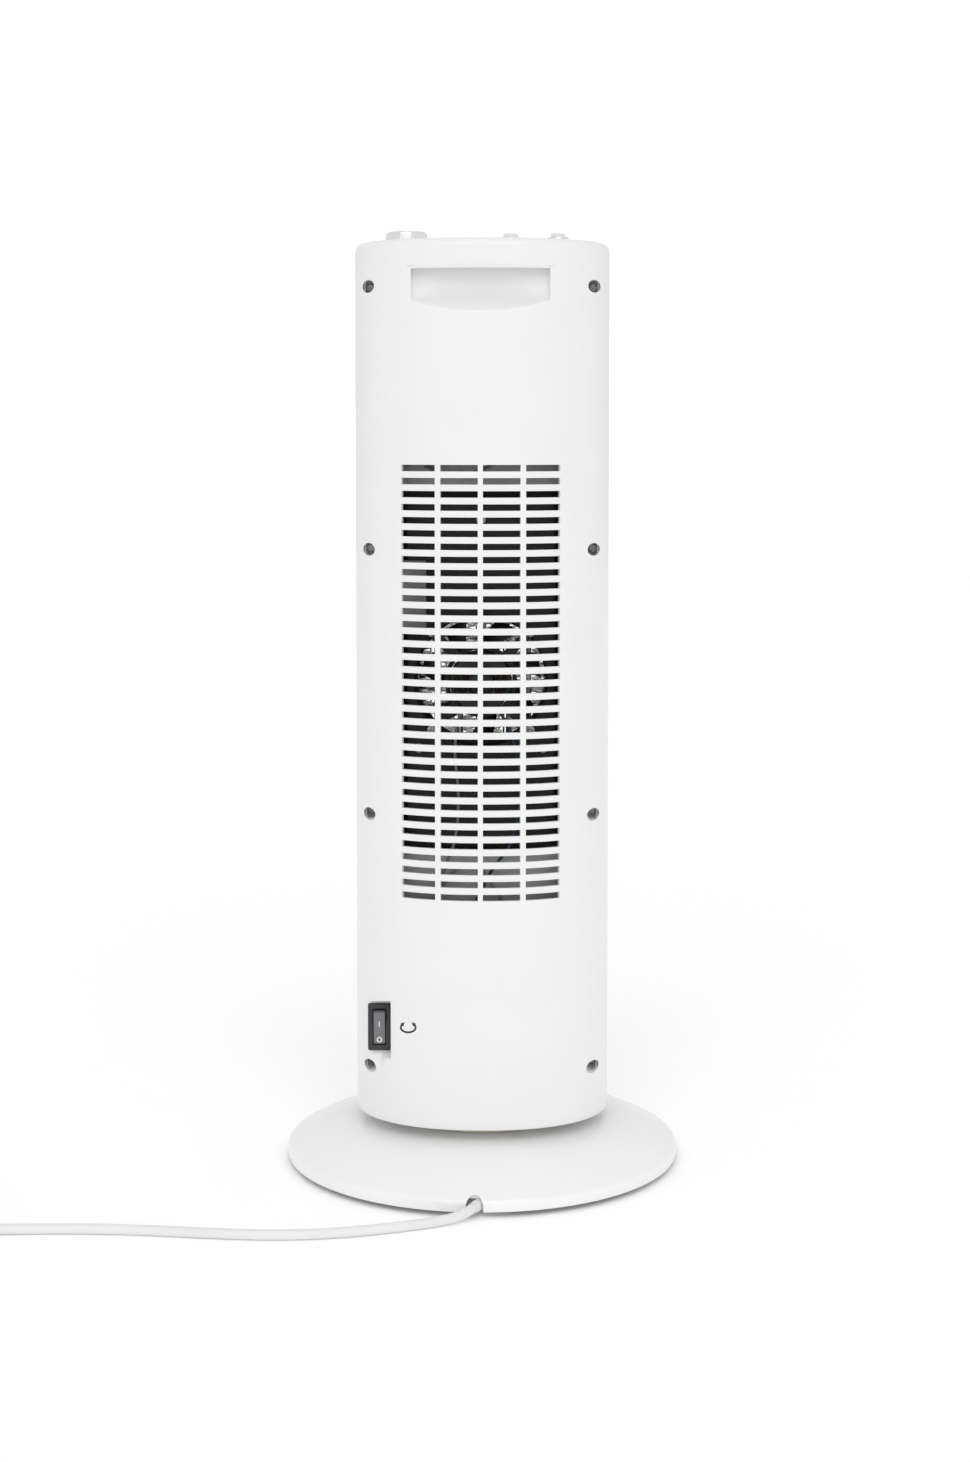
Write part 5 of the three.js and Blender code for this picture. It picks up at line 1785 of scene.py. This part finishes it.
    def _bracket(self) -> None:
        """The motor's bracket: a ring whose outer radius reaches out into four slim arms. Its steel is
        painted near black, as painted shade inside the tower.

        An arm is a strip 6 mm wide from the fan's axis at 45 degrees, so on a ray at angle d from
        its middle its edge is 3 mm / sin d away; the ring's own radius holds everywhere else.
        """
        low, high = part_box("motor_bracket")
        reach, ring, half = 49 * MM, 22.4 * MM, 3 * MM
        angle = np.linspace(0, 2 * np.pi, 720, endpoint=False)
        off = np.abs(np.mod(angle, np.pi / 2) - np.pi / 4)
        outer = np.maximum(ring, np.minimum(reach / np.cos(off), half / np.maximum(np.sin(off), 1e-6)))
        inner = np.full(len(angle), 19.8 * MM)
        y0, y1, e = low[1], high[1], 0.3 * MM
        rows = [(inner, y0), (outer - e, y0), (outer, y0 + e), (outer, y1 - e), (outer - e, y1)]
        rows += [(inner + 1.2 * MM, y1), (inner + 0.9 * MM, y1 + 1.0 * MM)]
        rows += [(inner, y1 + 1.2 * MM), (inner, y0)]
        c, s = np.cos(angle), np.sin(angle)
        loops = [np.column_stack([r * c, np.full(len(angle), y), self.fan_z + r * s]) for r, y in rows]
        bracket = mesh_piece("motor_mount", np.array(loops), grid_quads(len(loops), len(angle), wrap=True))
        bracket.data.set_sharp_from_angle(angle=math.radians(35))
        # its finish is steel painted near black, as painted shade
        self.fit(bracket, "steel_painted_shade", "tower", "zinc_steel", ("motor_bracket",))

    def _motor(self) -> None:
        """The motor: a laminated steel stack, two copper windings and a bearing cap. Steel and copper are
        painted near black, as painted shade inside the tower.
        """
        low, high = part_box("fan_motor")
        y0, y1, r = low[1], high[1], (high[0] - low[0]) / 2
        can = [[3.2, 0.0], [17.0, 0.0], [18.4, 0.6], [19.0, 1.8], [19.0, 13.0], [18.6, 13.8], [17.2, 14.4]]
        cap = [[9.0, 14.4], [8.0, 15.0], [7.4, 17.2], [6.6, 18.0], [0.0, 18.0], [0.0, 14.2], [3.2, 14.0]]
        profile = np.array(can + cap) * MM
        profile[:, 0] = np.minimum(profile[:, 0], r)
        motor = turned("motor_can", profile, (0, y0, self.fan_z), (0, 1, 0), 96)
        # its finish is steel painted near black, as painted shade
        self.fit(motor, "laminations_painted_shade", "tower", "zinc_steel", ("fan_motor",))
        turn = np.linspace(0, 2 * np.pi, 65)
        coil = []
        for side in (-1, 1):
            path = np.column_stack(
                [
                    side * 12.6 * MM + 2.6 * MM * np.cos(turn),
                    np.full(65, y1 - 3.4 * MM),
                    self.fan_z + 7.5 * MM * np.sin(turn),
                ]
            )
            coil.append(tube(f"coil_{side}", path, 1.7 * MM, 12))
        # the windings' finish is copper painted near black, as painted shade
        self.fit(joined("motor_windings", coil), "copper_painted_shade", "tower", "zinc_steel")

    def _wheel(self) -> None:
        """The fan wheel: a domed hub with its shaft and seven swept blades.

        A blade is a grid over its span and chord: the chord line turns from 58 to 40 degrees
        from root to tip, bulges as half a sine, and its thickness is that of a thin lens.
        """
        dome = [[0, 20.5], [6, 21], [10.5, 22.6], [12, 25]]
        shaft = [[12, 35.4], [11.4, 36], [2.5, 36], [2.5, 52], [0, 52]]
        hub = np.array(dome + shaft) * MM
        root, tip = 11.4 * MM, 37.4 * MM
        pieces = [turned("hub", hub, (0, 0, self.fan_z), (0, 1, 0), 64)]
        rows, around, blades = 15, 20, 7
        u = np.linspace(0, 1, rows)[:, None]
        turn = np.linspace(0, 2 * np.pi, around, endpoint=False)[None, :]
        faces = grid_quads(rows, around, wrap=True).tolist()
        faces += [list(range(around)), list(range((rows - 1) * around, rows * around))]
        along, thick = np.cos(turn), 0.9 * MM * np.sin(turn)
        for k in range(blades):
            base_angle = 2 * np.pi * k / blades
            radius = root + (tip - root) * u
            pitch = np.radians(58 - 18 * u)
            chord = (7.6 + 2.0 * u) * MM
            camber = 1.4 * MM * np.cos(along * np.pi / 2)
            run = along * chord * np.cos(pitch) - (thick + camber) * np.sin(pitch)
            y = 29 * MM + along * chord * np.sin(pitch) * 0.9 + (thick + camber) * np.cos(pitch)
            angle = base_angle + run / radius + 0.25 * u**2
            x, z = radius * np.cos(angle), self.fan_z + radius * np.sin(angle)
            y = np.clip(y, 22.4 * MM, 36 * MM)
            pieces.append(mesh_piece("blade", np.stack([x, y, z], axis=-1), faces))
        self.fit(joined("fan_rotor", pieces), "grille_black", "fan_wheel", "black_plastic", ("fan_wheel",))

    def _element(self) -> None:
        """The heating element: each bar is a row of ceramic stones between two folded fin strips.

        A fin strip is one sheet folded 70 times: x swings as a rounded triangle wave over z.
        """
        folds = 70
        count = folds * 8 + 1
        wave = np.arcsin(0.97 * np.sin(np.linspace(0, folds * 2 * np.pi, count))) / (np.pi / 2)
        for k in range(3):
            low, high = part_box(f"ceramic_bar_{k + 1}")
            x = (low[0] + high[0]) / 2
            z = np.linspace(low[2] + 1.2 * MM, high[2] - 1.2 * MM, count)
            depths = low[1] + 0.5 * MM, high[1] - 0.5 * MM
            pieces = []
            for side in (-1, 1):
                xs = x + side * 8.0 * MM + 5.2 * MM * wave
                rows = [np.column_stack([xs, np.full(count, y), z]) for y in depths]
                strip = mesh_piece("fins", np.array(rows), grid_quads(2, count), 1e-7)
                thicken(strip, 0.25 * MM)
                pieces.append(bake_modifiers(strip))
            for offset, half in ((0, 2.2), (-13.4, 0.55), (13.4, 0.55)):
                corner0 = (x + (offset - half) * MM, low[1] + 0.4 * MM, low[2])
                corner1 = (x + (offset + half) * MM, high[1] - 0.4 * MM, high[2])
                pieces.append(rounded_box("stone", corner0, corner1, 0.3 * MM))
            bar = joined(f"fin_bar_{k + 1}", pieces)
            self.fit(bar, "fin_aluminium", "tower", "ceramic_fins", (f"ceramic_bar_{k + 1}",))

    def _wires(self) -> None:
        """Loose wires in the tower, and the lead from the cord's sleeve to the swivel in the base."""
        for wire in self.WIRES:
            path = smooth_route(np.array(wire.route, float) * MM, 3 * MM)
            lead = tube(wire.name, path, wire.radius * MM, 12)
            self.fit(lead, wire.finish, "tower", "inner_wire", wire.nodes)
        path = smooth_route(np.array(self.LEAD) * MM, 2.5 * MM)
        lead = tube("base_wire", path, 2.9 * MM, 16)
        self.fit(lead, "wire_grey", "base", "inner_wire", ("base_lead",))

    def _screws(self) -> None:
        """Screws that hold the duct and the motor bracket."""
        rim = np.array([[0, 46, 412], [0, 46, 237], [38.5, 46, 270], [-38.5, 46, 270]]) * MM
        reach = 43 * MM * math.sqrt(0.5)
        arms = [(sx * reach, 48.3 * MM, self.fan_z + sz * reach) for sx in (-1, 1) for sz in (-1, 1)]
        for number, place in enumerate([*rim, *arms], 1):
            screw = cross_screw(f"duct_screw_{number}", place, (0, 1, 0), 3.2 * MM, 2.2 * MM, 1.5 * MM)
            self.fit(screw, "zinc_plate", "tower", "zinc_steel")

    def _dress_nodes(self) -> None:
        """Give the nodes that stay the finish of their slot."""
        finishes = {
            "ballast_ring": "cast_iron",
            "swivel_hub": "natural_nylon",
            "bearing_ring": "natural_nylon",
            "slotted_arm": "zinc_plate",
            "tower_floor": "white_shell",
            "swing_motor": "zinc_plate",
            "swing_crank": "natural_nylon",
            "tilt_switch": "grille_black",
            "tilt_pendulum": "zinc_plate",
            "heater_frame": "grille_black",
            "thermal_cutout": "zinc_plate",
            "thermostat": "natural_nylon",
            "mode_switch": "natural_nylon",
            "terminal_block": "natural_nylon",
        }
        for node, finish in finishes.items():
            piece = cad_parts[node]
            piece.data.materials.clear()
            piece.data.materials.append(Stock.get(finish))


def main() -> None:
    """Build the stage, the cord and every sub-assembly in order."""
    logging.basicConfig(level=logging.INFO, format="%(name)s %(message)s")
    Studio().build()
    for part in (PowerCord(), RearCasing(), FrontCasing(), Base(), TopControls(), SwingSwitch(), Inside()):
        part.build()
        LOG.info("%s: %d pieces", type(part).__name__, len(part.made))


if __name__ == "__main__":
    main()
